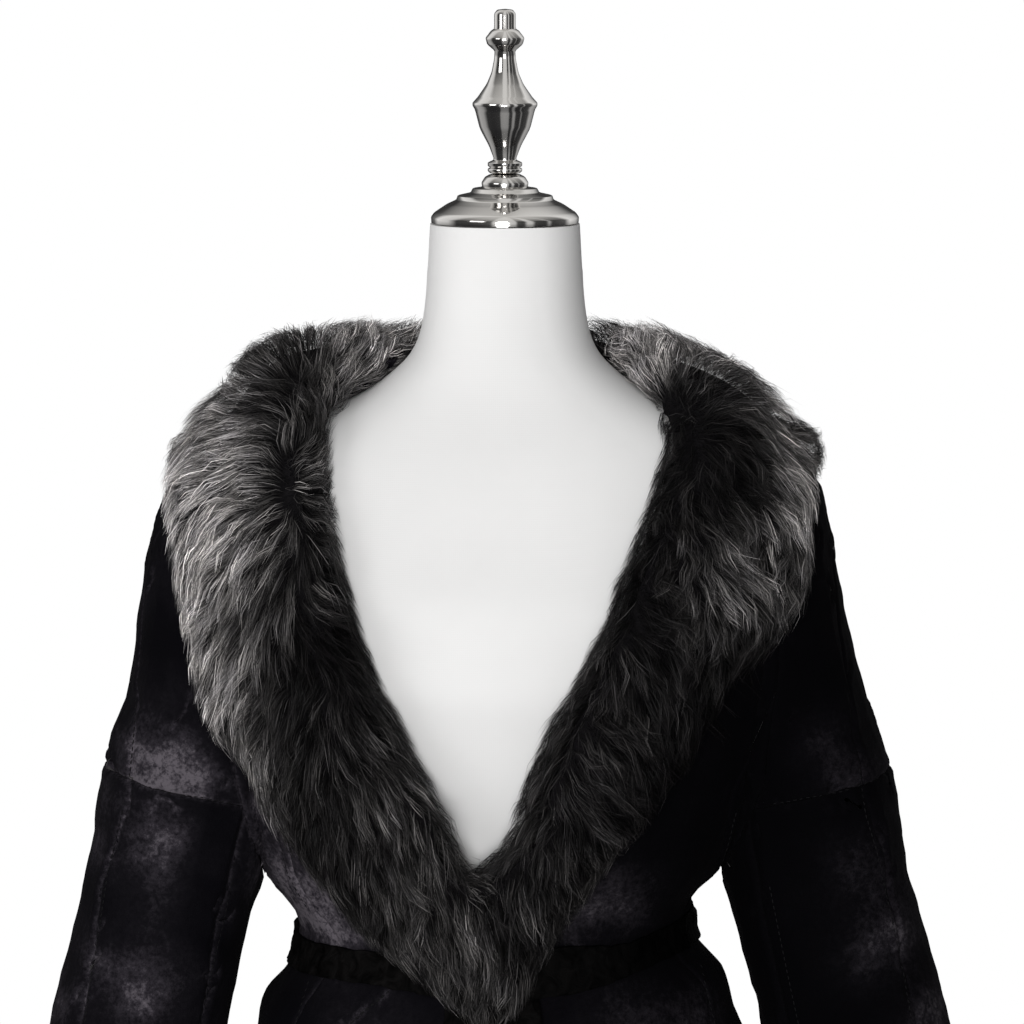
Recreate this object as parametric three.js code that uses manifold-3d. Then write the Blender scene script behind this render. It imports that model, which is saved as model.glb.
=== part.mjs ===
// A knee-length shearling wrap coat with a long-haired shawl collar, shown on a limbless dress form.
// Millimetres. +Z is up and the coat faces -Y, so the wearer's right is -X. The origin is the middle
// of the stand's foot, on the floor. Every panel is a wall cut from one worn shell: lofts give the
// coat's outside and inside, and the seams cut that shell into the pieces that a furrier sews.
import * as THREE from "three";
import Module from "manifold-3d";

const wasm = await Module();
wasm.setup();

// Driving dimensions
const WALL = 8; // suede and the clipped wool behind it
const SEAM = 0.3; // gap between two pieces at a seam
const SEAT = 0.4; // gap between the coat and the dress form under it
const FAR = 420; // half length of a cutting prism, beyond any surface
const HEM_Z = 470;
const NECKLINE_Z = 1462;
const BODY_POINTS = 40;
const SLEEVE_POINTS = 18;
const LATHE_POINTS = 16;
const BELT_WIDTH = 31;
const BELT_THICK = 4;
const LAP_GAP = 0.5; // between the two layers of the wrapped fronts
const LAP_FROM = { x: 62, z: 1190 }; // where the under front starts to dip below the upper one
const LAP_FULL = { x: 2, z: 1115 }; // where it has dipped all the way
const COLLAR_DEPTH = 26; // how far the uncut collar reaches into what it lies on
const COLLAR_CLEAR = 0.3;

// Outside of the coat: how far it reaches to the wearer's right and left, forward and back.
const COAT_SECTIONS = [
  { z: 445, right: 268, left: 264, front: 203, back: 211 },
  { z: 600, right: 239, left: 235, front: 181, back: 191 },
  { z: 750, right: 217, left: 213, front: 165, back: 177 },
  { z: 880, right: 198, left: 193, front: 153, back: 167 },
  { z: 955, right: 184, left: 179, front: 143, back: 154 },
  { z: 1008, right: 168, left: 160, front: 130, back: 136 },
  { z: 1044, right: 153, left: 144, front: 116, back: 117 },
  { z: 1064, right: 150, left: 136, front: 112, back: 111 },
  { z: 1084, right: 158, left: 136, front: 116, back: 111 },
  { z: 1112, right: 172, left: 155, front: 129, back: 118 },
  { z: 1160, right: 186, left: 179, front: 141, back: 122 },
  { z: 1245, right: 199, left: 197, front: 147, back: 125 },
  { z: 1305, right: 201, left: 200, front: 137, back: 123 },
  { z: 1350, right: 201, left: 201, front: 118, back: 116 },
  { z: 1382, right: 198, left: 198, front: 100, back: 105 },
  { z: 1402, right: 184, left: 184, front: 86, back: 94 },
  { z: 1420, right: 155, left: 155, front: 77, back: 84 },
  { z: 1435, right: 124, left: 124, front: 70, back: 76 },
  { z: 1447, right: 99, left: 99, front: 66, back: 71 },
  { z: 1472, right: 75, left: 75, front: 63, back: 67 },
];

// Flutes of the skirt, by angle from the wearer's left, anticlockwise seen from above.
const SKIRT_FOLDS = [
  { angle: 4, width: 15, depth: 13 },
  { angle: 43, width: 13, depth: 15 },
  { angle: 77, width: 12, depth: 9 },
  { angle: 113, width: 13, depth: 14 },
  { angle: 149, width: 14, depth: 10 },
  { angle: 190, width: 15, depth: 14 },
  { angle: 228, width: 12, depth: 12 },
  { angle: 309, width: 14, depth: 14 },
];
const FOLD_TOP = 1020;
const FOLD_FULL = 700;

// Outside of each sleeve, seen from the front: its outer and inner outline, and how far it reaches
// forward and back.
const RIGHT_SLEEVE_SECTIONS = [
  { z: 800, outer: 350, inner: 241, front: 84, back: 34 },
  { z: 900, outer: 338, inner: 217, front: 80, back: 47 },
  { z: 995, outer: 318, inner: 194, front: 76, back: 61 },
  { z: 1060, outer: 301, inner: 181, front: 76, back: 71 },
  { z: 1106, outer: 291, inner: 168, front: 77, back: 77 },
  { z: 1155, outer: 286, inner: 153, front: 78, back: 83 },
  { z: 1195, outer: 277, inner: 142, front: 79, back: 85 },
  { z: 1233, outer: 264, inner: 134, front: 78, back: 86 },
  { z: 1288, outer: 257, inner: 128, front: 76, back: 84 },
  { z: 1335, outer: 248, inner: 131, front: 70, back: 78 },
  { z: 1372, outer: 236, inner: 138, front: 60, back: 68 },
  { z: 1398, outer: 208, inner: 152, front: 38, back: 46 },
];
const LEFT_SLEEVE_SECTIONS = [
  { z: 800, outer: 350, inner: 236, front: 86, back: 32 },
  { z: 900, outer: 336, inner: 206, front: 82, back: 45 },
  { z: 995, outer: 310, inner: 180, front: 76, back: 60 },
  { z: 1060, outer: 292, inner: 162, front: 76, back: 70 },
  { z: 1106, outer: 280, inner: 151, front: 77, back: 77 },
  { z: 1155, outer: 276, inner: 145, front: 78, back: 83 },
  { z: 1195, outer: 264, inner: 138, front: 79, back: 85 },
  { z: 1233, outer: 251, inner: 132, front: 78, back: 86 },
  { z: 1288, outer: 238, inner: 128, front: 76, back: 84 },
  { z: 1335, outer: 229, inner: 131, front: 70, back: 78 },
  { z: 1372, outer: 221, inner: 138, front: 60, back: 68 },
  { z: 1398, outer: 202, inner: 152, front: 38, back: 46 },
];
const CUFF = { z: 832, x: 292, slope: 0.2 }; // the cuff's cut, square to the sleeve
const CAP_SEAM = { z: 1166, x: 230, slope: 0.22 }; // crosswise seam round the upper arm

// The dress form, on a general figure: its torso up to where the coat's shoulders rest on it, and
// its neck. Between the two it follows the inside of the coat.
const TORSO_SECTIONS = [
  { z: 780, half: 150, front: 95, back: 118 },
  { z: 790, half: 161, front: 101, back: 125 },
  { z: 850, half: 170, front: 105, back: 130 },
  { z: 940, half: 158, front: 103, back: 121 },
  { z: 1000, half: 134, front: 95, back: 102 },
  { z: 1060, half: 113, front: 86, back: 84 },
  { z: 1105, half: 117, front: 90, back: 86 },
  { z: 1160, half: 132, front: 105, back: 92 },
  { z: 1240, half: 160, front: 129, back: 101 },
  { z: 1300, half: 175, front: 121, back: 105 },
  { z: 1342, half: 181, front: 102, back: 101 },
  { z: 1374, half: 181, front: 89, back: 93 },
];
const SHOULDER_REST = { low: 1390, high: 1450 };
const NECK_SECTIONS = [
  { z: 1464, half: 65, front: 55.5, back: 57 },
  { z: 1484, half: 58, front: 54.5, back: 55 },
  { z: 1512, half: 55, front: 53.5, back: 53.5 },
  { z: 1555.7, half: 52, front: 52, back: 52 },
];

// Turned metal of the stand: radius and height above each piece's own base.
const CAP_BASE_Z = 1556;
const CAP_PROFILE = [
  [0, 0], [50.5, 0], [50.9, 5.5], [49, 9], [44.5, 12.5], [34, 16.5], [33, 19], [24, 21.5],
  [22.5, 24.5], [16, 25.5], [16, 28], [11, 33.7], [0, 34.7],
];
const FINIAL_BASE_Z = CAP_BASE_Z + 34.7 + SEAM;
const FINIAL_PROFILE = [
  [0, 0], [12, 0.8], [12, 3], [10.4, 4], [12, 5], [12, 7.4], [7.6, 9.5], [11.2, 19], [17.6, 31],
  [20.9, 44], [22.6, 47], [22.6, 49], [19, 53], [12.8, 62], [9.4, 70], [7.6, 79], [7.2, 85],
  [12.4, 89.5], [13.6, 94], [9.8, 99], [7.5, 100.5], [7.5, 111], [5.4, 113.6], [0, 114.2],
];
const FOOT_PROFILE = [
  [0, 0], [180, 0], [182, 3], [180, 7], [168, 10], [70, 17], [34, 24], [24, 34], [22, 62], [0, 62],
];
const POLE_BASE_Z = 62 + SEAM;
const FLANGE_TOP = TORSO_SECTIONS[0].z - SEAM - POLE_BASE_Z;
const POLE_PROFILE = [
  [0, 0], [12.5, 0], [12.5, FLANGE_TOP - 22], [20, FLANGE_TOP - 14], [56, FLANGE_TOP - 8],
  [58, FLANGE_TOP], [0, FLANGE_TOP],
];

// Seams seen from the front, as [x, z] from the top down. Mirrored seams are listed once, with x as
// the distance from the middle.
const RIGHT_ARMHOLE = [
  [190, 1500], [192, 1400], [195, 1330], [193, 1250], [185, 1165], [171, 1112], [170, 1085],
  [178, 1040], [196, 960], [216, 880], [236, 780], [300, 400],
];
const LEFT_ARMHOLE = [
  [186, 1500], [188, 1400], [190, 1330], [188, 1250], [178, 1165], [155, 1112], [146, 1090],
  [156, 1040], [186, 950], [212, 870], [232, 780], [300, 400],
];
const PRINCESS = [
  [240, 1500], [240, 1290], [192, 1250], [157, 1167], [147, 1107], [120, 1060], [134, 1031],
  [142, 1005], [156, 900], [168, 760], [186, 400],
];
const RIGHT_FRONT_EDGE = [
  [96, 1500], [96, 1450], [124, 1427], [129, 1370], [122, 1318], [109, 1270], [89, 1222], [69, 1177],
  [50, 1139], [32, 1110], [14, 1082], [13, 1000], [8, 800], [2, 400],
];
const LEFT_FRONT_EDGE = [
  [96, 1500], [96, 1450], [118, 1427], [111, 1382], [96, 1344], [73, 1277], [49, 1231], [31, 1181],
  [19, 1151], [0, 1117], [-30, 1085], [-66, 1005], [-108, 900], [-110, 400],
];
const RIGHT_OUTER_SEAM = [
  [236, 1500], [254, 1278], [261, 1155], [271, 1131], [280, 1089], [287, 1040], [293, 995], [322, 760],
];
const RIGHT_UNDER_SEAM = [
  [176, 1200], [180, 1153], [185, 1130], [193, 1092], [200, 1074], [205, 1036], [212, 996], [256, 760],
];
const LEFT_OUTER_SEAM = [
  [216, 1500], [232, 1278], [252, 1155], [262, 1117], [270, 1075], [278, 1030], [285, 995], [322, 760],
];
const LEFT_UNDER_SEAM = [
  [170, 1200], [170, 1153], [172, 1125], [178, 1085], [188, 1040], [198, 996], [250, 760],
];
const COLLAR_MEETING = [
  [-19, 1500], [-19, 1128], [-14, 1080], [-10, 1000], [-10, 400],
];
const MIDDLE = [[0, 1500], [0, 400]];

// Middle line of the belt, as [x, z], lower where it sags towards the front.
const BELT_FRONT = [
  [-260, 1052], [-100, 1051], [-50, 1047], [0, 1044], [60, 1050], [110, 1062], [150, 1071], [260, 1074],
];
const BELT_BACK = [[-260, 1052], [0, 1062], [260, 1074]];
const KNOT = { x: -6, y: -119, z: 1043, halfWidth: 22, halfHeight: 20, thick: 11 };
const BELT_ENDS = [
  { name: "belt_end_right", top: -25, bottom: -58, endZ: 745 },
  { name: "belt_end_left", top: 9, bottom: 34, endZ: 700 },
];
const BELT_END_HALF = 14;

// The collar, from its lower tip up the chest, over the shoulder and round to the middle of the
// back: its roll edge, its outer edge, how far the hair stands off, and the way that it faces.
const RIGHT_COLLAR = [
  { in: [-11, 0, 1014], out: [-33, 0, 1018], loft: 32, face: [0, -1, 0] },
  { in: [-12, 0, 1042], out: [-62, 0, 1044], loft: 36, face: [0, -1, 0] },
  { in: [-14, 0, 1072], out: [-92, 0, 1070], loft: 38, face: [0, -1, 0] },
  { in: [-20, 0, 1105], out: [-130, 0, 1099], loft: 40, face: [0, -1, 0] },
  { in: [-36, 0, 1139], out: [-168, 0, 1141], loft: 41, face: [0, -1, 0] },
  { in: [-55, 0, 1177], out: [-194, 0, 1183], loft: 42, face: [0, -1, 0] },
  { in: [-75, 0, 1222], out: [-208, 0, 1230], loft: 43, face: [0, -1, 0] },
  { in: [-95, 0, 1270], out: [-216, 0, 1280], loft: 44, face: [0, -1, 0] },
  { in: [-108, 0, 1318], out: [-224, 0, 1330], loft: 44, face: [-0.05, -1, 0.05] },
  { in: [-113, 0, 1368], out: [-229, 0, 1368], loft: 43, face: [-0.18, -0.92, 0.3] },
  { in: [-104, -30, 1420], out: [-232, -18, 1386], loft: 43, face: [-0.42, -0.45, 0.79] },
  { in: [-78, -4, 1448], out: [-226, 34, 1384], loft: 39, face: [-0.4, 0.1, 0.9] },
  { in: [-64, 34, 1462], out: [-202, 92, 1364], loft: 38, face: [-0.36, 0.5, 0.76] },
  { in: [-47, 58, 1475], out: [-152, 120, 1328], loft: 41, face: [-0.22, 0.8, 0.52] },
  { in: [-25, 71, 1479], out: [-80, 130, 1302], loft: 41, face: [-0.1, 0.9, 0.4] },
  { in: [0, 75, 1480], out: [0, 132, 1292], loft: 41, face: [0, 0.92, 0.38] },
];
const LEFT_COLLAR = [
  { in: [-9, 0, 1014], out: [18, 0, 1022], loft: 31, face: [0, -1, 0] },
  { in: [-11, 0, 1042], out: [24, 0, 1046], loft: 35, face: [0, -1, 0] },
  { in: [-13, 0, 1080], out: [40, 0, 1082], loft: 38, face: [0, -1, 0] },
  { in: [-16, 0, 1120], out: [72, 0, 1118], loft: 40, face: [0, -1, 0] },
  { in: [4, 0, 1152], out: [106, 0, 1156], loft: 41, face: [0, -1, 0] },
  { in: [17, 0, 1184], out: [138, 0, 1196], loft: 42, face: [0, -1, 0] },
  { in: [35, 0, 1231], out: [176, 0, 1246], loft: 43, face: [0, -1, 0] },
  { in: [59, 0, 1277], out: [205, 0, 1292], loft: 44, face: [0, -1, 0] },
  { in: [80, 0, 1335], out: [214, 0, 1334], loft: 44, face: [0.05, -1, 0.05] },
  { in: [99, 0, 1384], out: [213, 0, 1370], loft: 43, face: [0.18, -0.92, 0.3] },
  { in: [100, -30, 1424], out: [220, -18, 1388], loft: 43, face: [0.42, -0.45, 0.79] },
  { in: [78, -4, 1448], out: [219, 34, 1384], loft: 37, face: [0.4, 0.1, 0.9] },
  { in: [64, 34, 1462], out: [199, 92, 1362], loft: 37, face: [0.36, 0.5, 0.76] },
  { in: [47, 58, 1475], out: [152, 120, 1328], loft: 41, face: [0.22, 0.8, 0.52] },
  { in: [25, 71, 1479], out: [80, 130, 1302], loft: 41, face: [0.1, 0.9, 0.4] },
];
const COLLAR_STEPS = 7;

// Solids and rings

function toSolid(geometry) {
  const plain = geometry.index ? geometry.toNonIndexed() : geometry;
  const points = plain.getAttribute("position");
  const seen = new Map();
  const vertices = [];
  const triangles = [];
  for (let i = 0; i < points.count; i += 1) {
    const at = [points.getX(i), points.getY(i), points.getZ(i)].map((v) => Math.round(v * 1e4) / 1e4);
    const key = at.join(" ");
    if (!seen.has(key)) {
      seen.set(key, vertices.length / 3);
      vertices.push(...at);
    }
    triangles.push(seen.get(key));
  }
  const kept = [];
  for (let i = 0; i < triangles.length; i += 3) {
    const [a, b, c] = triangles.slice(i, i + 3);
    if (a !== b && b !== c && c !== a) kept.push(a, b, c);
  }
  const build = (order) =>
    new wasm.Manifold(
      new wasm.Mesh({
        numProp: 3,
        vertProperties: new Float32Array(vertices),
        triVerts: new Uint32Array(order),
      }),
    );
  const solid = build(kept);
  if (solid.volume() > 0) return solid;
  return build(kept.flatMap((v, i) => (i % 3 === 0 ? [v, kept[i + 2], kept[i + 1]] : [])));
}

function toGeometry(solid) {
  const { vertProperties, triVerts, numProp } = solid.getMesh();
  const points = [];
  for (const v of triVerts) {
    for (let axis = 0; axis < 3; axis += 1) points.push(vertProperties[v * numProp + axis]);
  }
  const geometry = new THREE.BufferGeometry();
  geometry.setAttribute("position", new THREE.Float32BufferAttribute(points, 3));
  geometry.computeVertexNormals();
  return geometry;
}

// The biggest piece of a cut solid, without the crumbs that a seam can leave.
function biggest(solid) {
  return solid.decompose().reduce((best, one) => (one.volume() > best.volume() ? one : best));
}

// Skins a closed solid over rings of the same number of points, with a flat fan at each end.
function loft(rings) {
  const count = rings[0].length;
  const points = rings.flat();
  const middle = (ring) =>
    ring.reduce((sum, p) => sum.add(p), new THREE.Vector3()).divideScalar(ring.length);
  const first = points.push(middle(rings[0])) - 1;
  const last = points.push(middle(rings.at(-1))) - 1;
  const index = [];
  for (let r = 0; r < rings.length; r += 1) {
    for (let i = 0; i < count; i += 1) {
      const here = r * count + i;
      const beside = r * count + ((i + 1) % count);
      if (r === 0) index.push(first, beside, here);
      if (r === rings.length - 1) index.push(last, here, beside);
      else index.push(here, beside, beside + count, here, beside + count, here + count);
    }
  }
  const geometry = new THREE.BufferGeometry().setFromPoints(points);
  geometry.setIndex(index);
  return geometry;
}

// Moves each point of a stack of rings along the surface's own normal.
function offsetRings(rings, distance) {
  const count = rings[0].length;
  return rings.map((ring, r) =>
    ring.map((p, i) => {
      const across = ring[(i + 1) % count].clone().sub(ring[(i + count - 1) % count]);
      const above = rings[Math.min(r + 1, rings.length - 1)][i];
      const below = rings[Math.max(r - 1, 0)][i];
      const normal = across.cross(above.clone().sub(below)).normalize();
      return p.clone().addScaledVector(normal, typeof distance === "function" ? distance(p) : distance);
    }),
  );
}

const ROUNDNESS = 2.35; // 2 is an ellipse, more is squarer

// One level section: half sizes to each side of a centre, as a rounded oval.
function section(z, cx, cy, left, right, front, back, count, push = () => 0) {
  return Array.from({ length: count }, (_, i) => {
    const angle = (i / count) * 2 * Math.PI;
    const c = Math.cos(angle);
    const s = Math.sin(angle);
    const x = Math.sign(c) * Math.abs(c) ** (2 / ROUNDNESS) * (c > 0 ? left : right);
    const y = Math.sign(s) * Math.abs(s) ** (2 / ROUNDNESS) * (s > 0 ? back : front);
    const out = 1 + push(THREE.MathUtils.radToDeg(angle), z) / Math.hypot(x, y);
    return new THREE.Vector3(cx + x * out, cy + y * out, z);
  });
}

const smooth = (t) => THREE.MathUtils.smoothstep(t, 0, 1);

function skirtPush(angle, z) {
  const amount = smooth((FOLD_TOP - z) / (FOLD_TOP - FOLD_FULL));
  return SKIRT_FOLDS.reduce((sum, fold) => {
    const apart = Math.abs(((angle - fold.angle + 540) % 360) - 180);
    return sum + amount * fold.depth * Math.exp(-((apart / fold.width) ** 2));
  }, 0);
}

const coatRings = COAT_SECTIONS.map((row) =>
  section(row.z, 0, 0, row.left, row.right, row.front, row.back, BODY_POINTS, skirtPush),
);
const sleeveRings = (rows, side) =>
  rows.map((row) => {
    const half = (row.outer - row.inner) / 2;
    const cx = (side * (row.outer + row.inner)) / 2;
    return section(row.z, cx, 0, half, half, row.front, row.back, SLEEVE_POINTS);
  });
const rightSleeveRings = sleeveRings(RIGHT_SLEEVE_SECTIONS, -1);
const leftSleeveRings = sleeveRings(LEFT_SLEEVE_SECTIONS, 1);
const formSection = ({ z, half, front, back }) =>
  section(z, 0, 0, half, half, front, back, BODY_POINTS);
const formRings = [
  ...TORSO_SECTIONS.map(formSection),
  ...offsetRings(coatRings, -(WALL + SEAT)).filter((_, r) => {
    const { z } = COAT_SECTIONS[r];
    return z > SHOULDER_REST.low && z < SHOULDER_REST.high;
  }),
  ...NECK_SECTIONS.map(formSection),
];

const solidAt = (rings, distance) => toSolid(loft(offsetRings(rings, distance)));
const coatOutside = (distance = 0) =>
  solidAt(coatRings, distance)
    .add(solidAt(rightSleeveRings, distance))
    .add(solidAt(leftSleeveRings, distance));

// Cutting prisms

// A prism through the coat from front to back, over an outline of [x, z].
function prism(outline, fromY = -FAR, toY = FAR) {
  const shape = new THREE.Shape(outline.map(([x, z]) => new THREE.Vector2(x, z)));
  const geometry = new THREE.ExtrudeGeometry(shape, { depth: toY - fromY, bevelEnabled: false });
  geometry.rotateX(Math.PI / 2);
  geometry.translate(0, toY, 0);
  return toSolid(geometry);
}

const block = (lowZ, highZ, fromY = -FAR, toY = FAR) =>
  prism([[-FAR, lowZ], [FAR, lowZ], [FAR, highZ], [-FAR, highZ]], fromY, toY);

// All that lies to one side of a seam line. Its x is a distance from the middle, on one side of it.
function sideOfSeam(line, side, shift, far) {
  const seam = line.map(([x, z]) => [side * (x + shift), z]);
  return prism([...seam, [side * far, line.at(-1)[1]], [side * far, line[0][1]]]);
}
const half = SEAM / 2;
const within = (line, side, shift = -half) => sideOfSeam(line, side, shift, -FAR);
const beyond = (line, side, shift = half) => sideOfSeam(line, side, shift, FAR);
const frontHalf = block(300, 1700, -FAR, 0);
const backHalf = block(300, 1700, 0, FAR);
const forward = frontHalf.translate([0, -half, 0]);
const behind = backHalf.translate([0, half, 0]);

// Everything above a slanted crosswise cut of one sleeve.
function aboveCut({ z, x, slope }, side, shift = 0) {
  const cutAt = (reach) => [side * reach, z + shift + slope * (reach - x)];
  return prism([cutAt(0), cutAt(FAR), [side * FAR, 1700], [0, 1700]]);
}

// The uncut shell

const coatInside = solidAt(coatRings, -WALL)
  .add(solidAt(rightSleeveRings, -WALL))
  .add(solidAt(leftSleeveRings, -WALL));
const formClear = solidAt(formRings, SEAT);

// The V between the fronts and the hole for the neck, grown or shrunk by a little.
function neckOpening(grow) {
  const vee = within(RIGHT_FRONT_EDGE, -1, grow).intersect(within(LEFT_FRONT_EDGE, 1, grow));
  return vee.intersect(forward).add(block(NECKLINE_Z - grow, 1700));
}

const belowHem = block(300, HEM_Z);
const shell = coatOutside().subtract(coatInside).subtract(neckOpening(0)).subtract(belowHem);

// The under front dips below the upper one where the two are wrapped.
function underDip(p) {
  const inward = smooth((LAP_FROM.x - p.x) / (LAP_FROM.x - LAP_FULL.x));
  const downward = smooth((LAP_FROM.z - p.z) / (LAP_FROM.z - LAP_FULL.z));
  return -(WALL + LAP_GAP) * inward * downward;
}

const underShell = solidAt(coatRings, underDip)
  .add(solidAt(leftSleeveRings, 0))
  .subtract(solidAt(coatRings, (p) => underDip(p) - WALL))
  .subtract(solidAt(leftSleeveRings, -WALL))
  .subtract(belowHem);

// The pieces

const MATERIALS = {
  suede: new THREE.MeshStandardMaterial({ color: 0x17161a, roughness: 0.92 }),
  fur: new THREE.MeshStandardMaterial({ color: 0x35343a, roughness: 0.9 }),
  belt: new THREE.MeshStandardMaterial({ color: 0x0e0e10, roughness: 0.7 }),
  cover: new THREE.MeshStandardMaterial({ color: 0xe9e7e4, roughness: 0.85 }),
  nickel: new THREE.MeshStandardMaterial({ color: 0xc9c6c2, roughness: 0.15, metalness: 1 }),
};

const coat = new THREE.Group();

function addPiece(parent, name, solid, material) {
  const mesh = new THREE.Mesh(toGeometry(biggest(solid)), material);
  mesh.name = name;
  parent.add(mesh);
}

const ARMHOLES = { right: RIGHT_ARMHOLE, left: LEFT_ARMHOLE };
const SIDES = { right: -1, left: 1 };

function addBodyPanels(sideName) {
  const side = SIDES[sideName];
  const edge = sideName === "right" ? RIGHT_FRONT_EDGE : LEFT_FRONT_EDGE;
  const cloth = sideName === "right" ? shell : underShell;
  const inArmhole = within(ARMHOLES[sideName], side);
  const inPrincess = within(PRINCESS, side).intersect(inArmhole);
  const front = cloth.intersect(inPrincess).intersect(forward).intersect(beyond(edge, side, 0));
  const back = shell.intersect(inPrincess).intersect(behind).intersect(beyond(MIDDLE, side));
  const under = shell.intersect(inArmhole).intersect(beyond(PRINCESS, side));
  addPiece(coat, `front_${sideName}`, front, MATERIALS.suede);
  addPiece(coat, `side_${sideName}`, under, MATERIALS.suede);
  addPiece(coat, `back_${sideName}`, back, MATERIALS.suede);
}

function addSleevePanels(sideName, outerSeam, underSeam) {
  const side = SIDES[sideName];
  const arm = shell.intersect(beyond(ARMHOLES[sideName], side));
  const cap = arm.intersect(aboveCut(CAP_SEAM, side, half));
  const lower = arm.subtract(aboveCut(CAP_SEAM, side, -half)).intersect(aboveCut(CUFF, side));
  const outerFront = within(outerSeam, side).intersect(forward);
  const outerBack = behind.add(beyond(outerSeam, side));
  const pieces = {
    cap_front: cap.intersect(outerFront),
    cap_back: cap.intersect(outerBack),
    front: lower.intersect(beyond(underSeam, side)).intersect(outerFront),
    under: lower.intersect(within(underSeam, side)),
    back: lower.intersect(beyond(underSeam, side)).intersect(outerBack),
  };
  for (const [name, solid] of Object.entries(pieces)) {
    addPiece(coat, `sleeve_${sideName}_${name}`, solid, MATERIALS.suede);
  }
}

// The belt and its tie

function beltBand(grow) {
  const rise = BELT_WIDTH / 2 + grow;
  const strip = (line, fromY, toY) =>
    prism([...line.map(([x, z]) => [x, z + rise]), ...[...line].reverse().map(([x, z]) => [x, z - rise])],
      fromY, toY);
  return strip(BELT_FRONT, -FAR, 0).add(strip(BELT_BACK, 0, FAR));
}

// One hanging end, from inside the knot down.
function beltEnd({ top, bottom, endZ }, grow) {
  const w = BELT_END_HALF + grow;
  const foot = [[bottom + w, endZ - grow], [bottom - w, endZ - grow]];
  return prism([[top - w, KNOT.z], [top + w, KNOT.z], ...foot], -FAR, 0);
}

const onCoat = solidAt(coatRings, SEAM);
const beltOutside = solidAt(coatRings, SEAM + BELT_THICK);
const beltLayer = beltOutside.subtract(onCoat);
const clearOfBelt = solidAt(coatRings, SEAM + BELT_THICK + COLLAR_CLEAR);

function knot(grow) {
  const geometry = new THREE.SphereGeometry(1, 14, 10);
  geometry.rotateX(Math.PI / 2);
  geometry.scale(KNOT.halfWidth + grow, KNOT.thick + grow, KNOT.halfHeight + grow);
  geometry.translate(KNOT.x, KNOT.y, KNOT.z);
  return toSolid(geometry);
}

// The collar

const anvil = new THREE.Mesh(
  toGeometry(coatOutside()),
  new THREE.MeshBasicMaterial({ side: THREE.DoubleSide }),
);
anvil.updateMatrixWorld(true);
const caster = new THREE.Raycaster();

// Where a line along the collar's facing meets the coat under it.
function coatPoint(at, face) {
  const start = at.clone().addScaledVector(face, 330);
  caster.set(start, face.clone().negate());
  const hit = caster.intersectObject(anvil)[0];
  return hit ? hit.point : at;
}

// How full the hair stands from the roll edge (0) to the outer edge (1).
function hairProfile(s) {
  return 0.5 + 0.5 * Math.sin(Math.PI * Math.min(1, 0.16 + s * 0.84)) ** 0.6;
}

function collarRing(row) {
  const face = new THREE.Vector3(...row.face).normalize();
  const inner = new THREE.Vector3(...row.in);
  const outer = new THREE.Vector3(...row.out);
  const top = [];
  const bottom = [];
  for (let step = 0; step <= COLLAR_STEPS; step += 1) {
    const s = step / COLLAR_STEPS;
    const foot = coatPoint(inner.clone().lerp(outer, s), face);
    top.push(foot.clone().addScaledVector(face, row.loft * hairProfile(s)));
    bottom.push(foot.clone().addScaledVector(face, -COLLAR_DEPTH));
  }
  return [...top, ...bottom.reverse()];
}

function addCollar() {
  const rings = [...RIGHT_COLLAR, ...[...LEFT_COLLAR].reverse()].map(collarRing);
  const whole = toSolid(loft(rings));
  const under = coatOutside(COLLAR_CLEAR).subtract(neckOpening(-COLLAR_CLEAR));
  const band = clearOfBelt.intersect(beltBand(COLLAR_CLEAR));
  const ends = BELT_ENDS.map((end) => clearOfBelt.intersect(beltEnd(end, COLLAR_CLEAR)));
  const cut = [under, formClear, band, knot(COLLAR_CLEAR), ...ends].reduce(
    (rest, one) => rest.subtract(one),
    whole,
  );
  const halfOf = (cutOff) =>
    cutOff(COLLAR_MEETING, 1).intersect(frontHalf).add(cutOff(MIDDLE, 1).intersect(backHalf));
  addPiece(coat, "collar_right", cut.intersect(halfOf(within)), MATERIALS.fur);
  addPiece(coat, "collar_left", cut.intersect(halfOf(beyond)), MATERIALS.fur);
}

function turned(name, profile, z, material, parent) {
  const geometry = new THREE.LatheGeometry(
    profile.map(([r, h]) => new THREE.Vector2(r, h)),
    LATHE_POINTS,
  );
  geometry.rotateX(Math.PI / 2);
  geometry.translate(0, 0, z);
  addPiece(parent, name, toSolid(geometry), material);
}

function addDressForm() {
  const stand = new THREE.Group();
  addPiece(stand, "dress_form", toSolid(loft(formRings)), MATERIALS.cover);
  turned("neck_cap", CAP_PROFILE, CAP_BASE_Z, MATERIALS.nickel, stand);
  turned("finial", FINIAL_PROFILE, FINIAL_BASE_Z, MATERIALS.nickel, stand);
  turned("stand_pole", POLE_PROFILE, POLE_BASE_Z, MATERIALS.nickel, stand);
  turned("stand_foot", FOOT_PROFILE, 0, MATERIALS.nickel, stand);
  return stand;
}

addBodyPanels("right");
addBodyPanels("left");
addSleevePanels("right", RIGHT_OUTER_SEAM, RIGHT_UNDER_SEAM);
addSleevePanels("left", LEFT_OUTER_SEAM, LEFT_UNDER_SEAM);
addPiece(coat, "belt", beltLayer.intersect(beltBand(0)).subtract(knot(SEAM)), MATERIALS.belt);
addPiece(coat, "belt_knot", knot(0).subtract(onCoat), MATERIALS.belt);
for (const end of BELT_ENDS) {
  const hanging = beltLayer.intersect(beltEnd(end, 0)).subtract(beltBand(SEAM)).subtract(knot(SEAM));
  addPiece(coat, end.name, hanging, MATERIALS.belt);
}
addCollar();

const part = new THREE.Group();
part.add(coat, addDressForm());
export default part;
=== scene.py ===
"""A knee-length shearling wrap coat with a long-haired shawl collar, worn by a limbless dress form."""

import math

import bmesh
import bpy
import numpy as np
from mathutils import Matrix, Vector, noise
from mathutils.bvhtree import BVHTree
from mathutils.kdtree import KDTree


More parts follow.
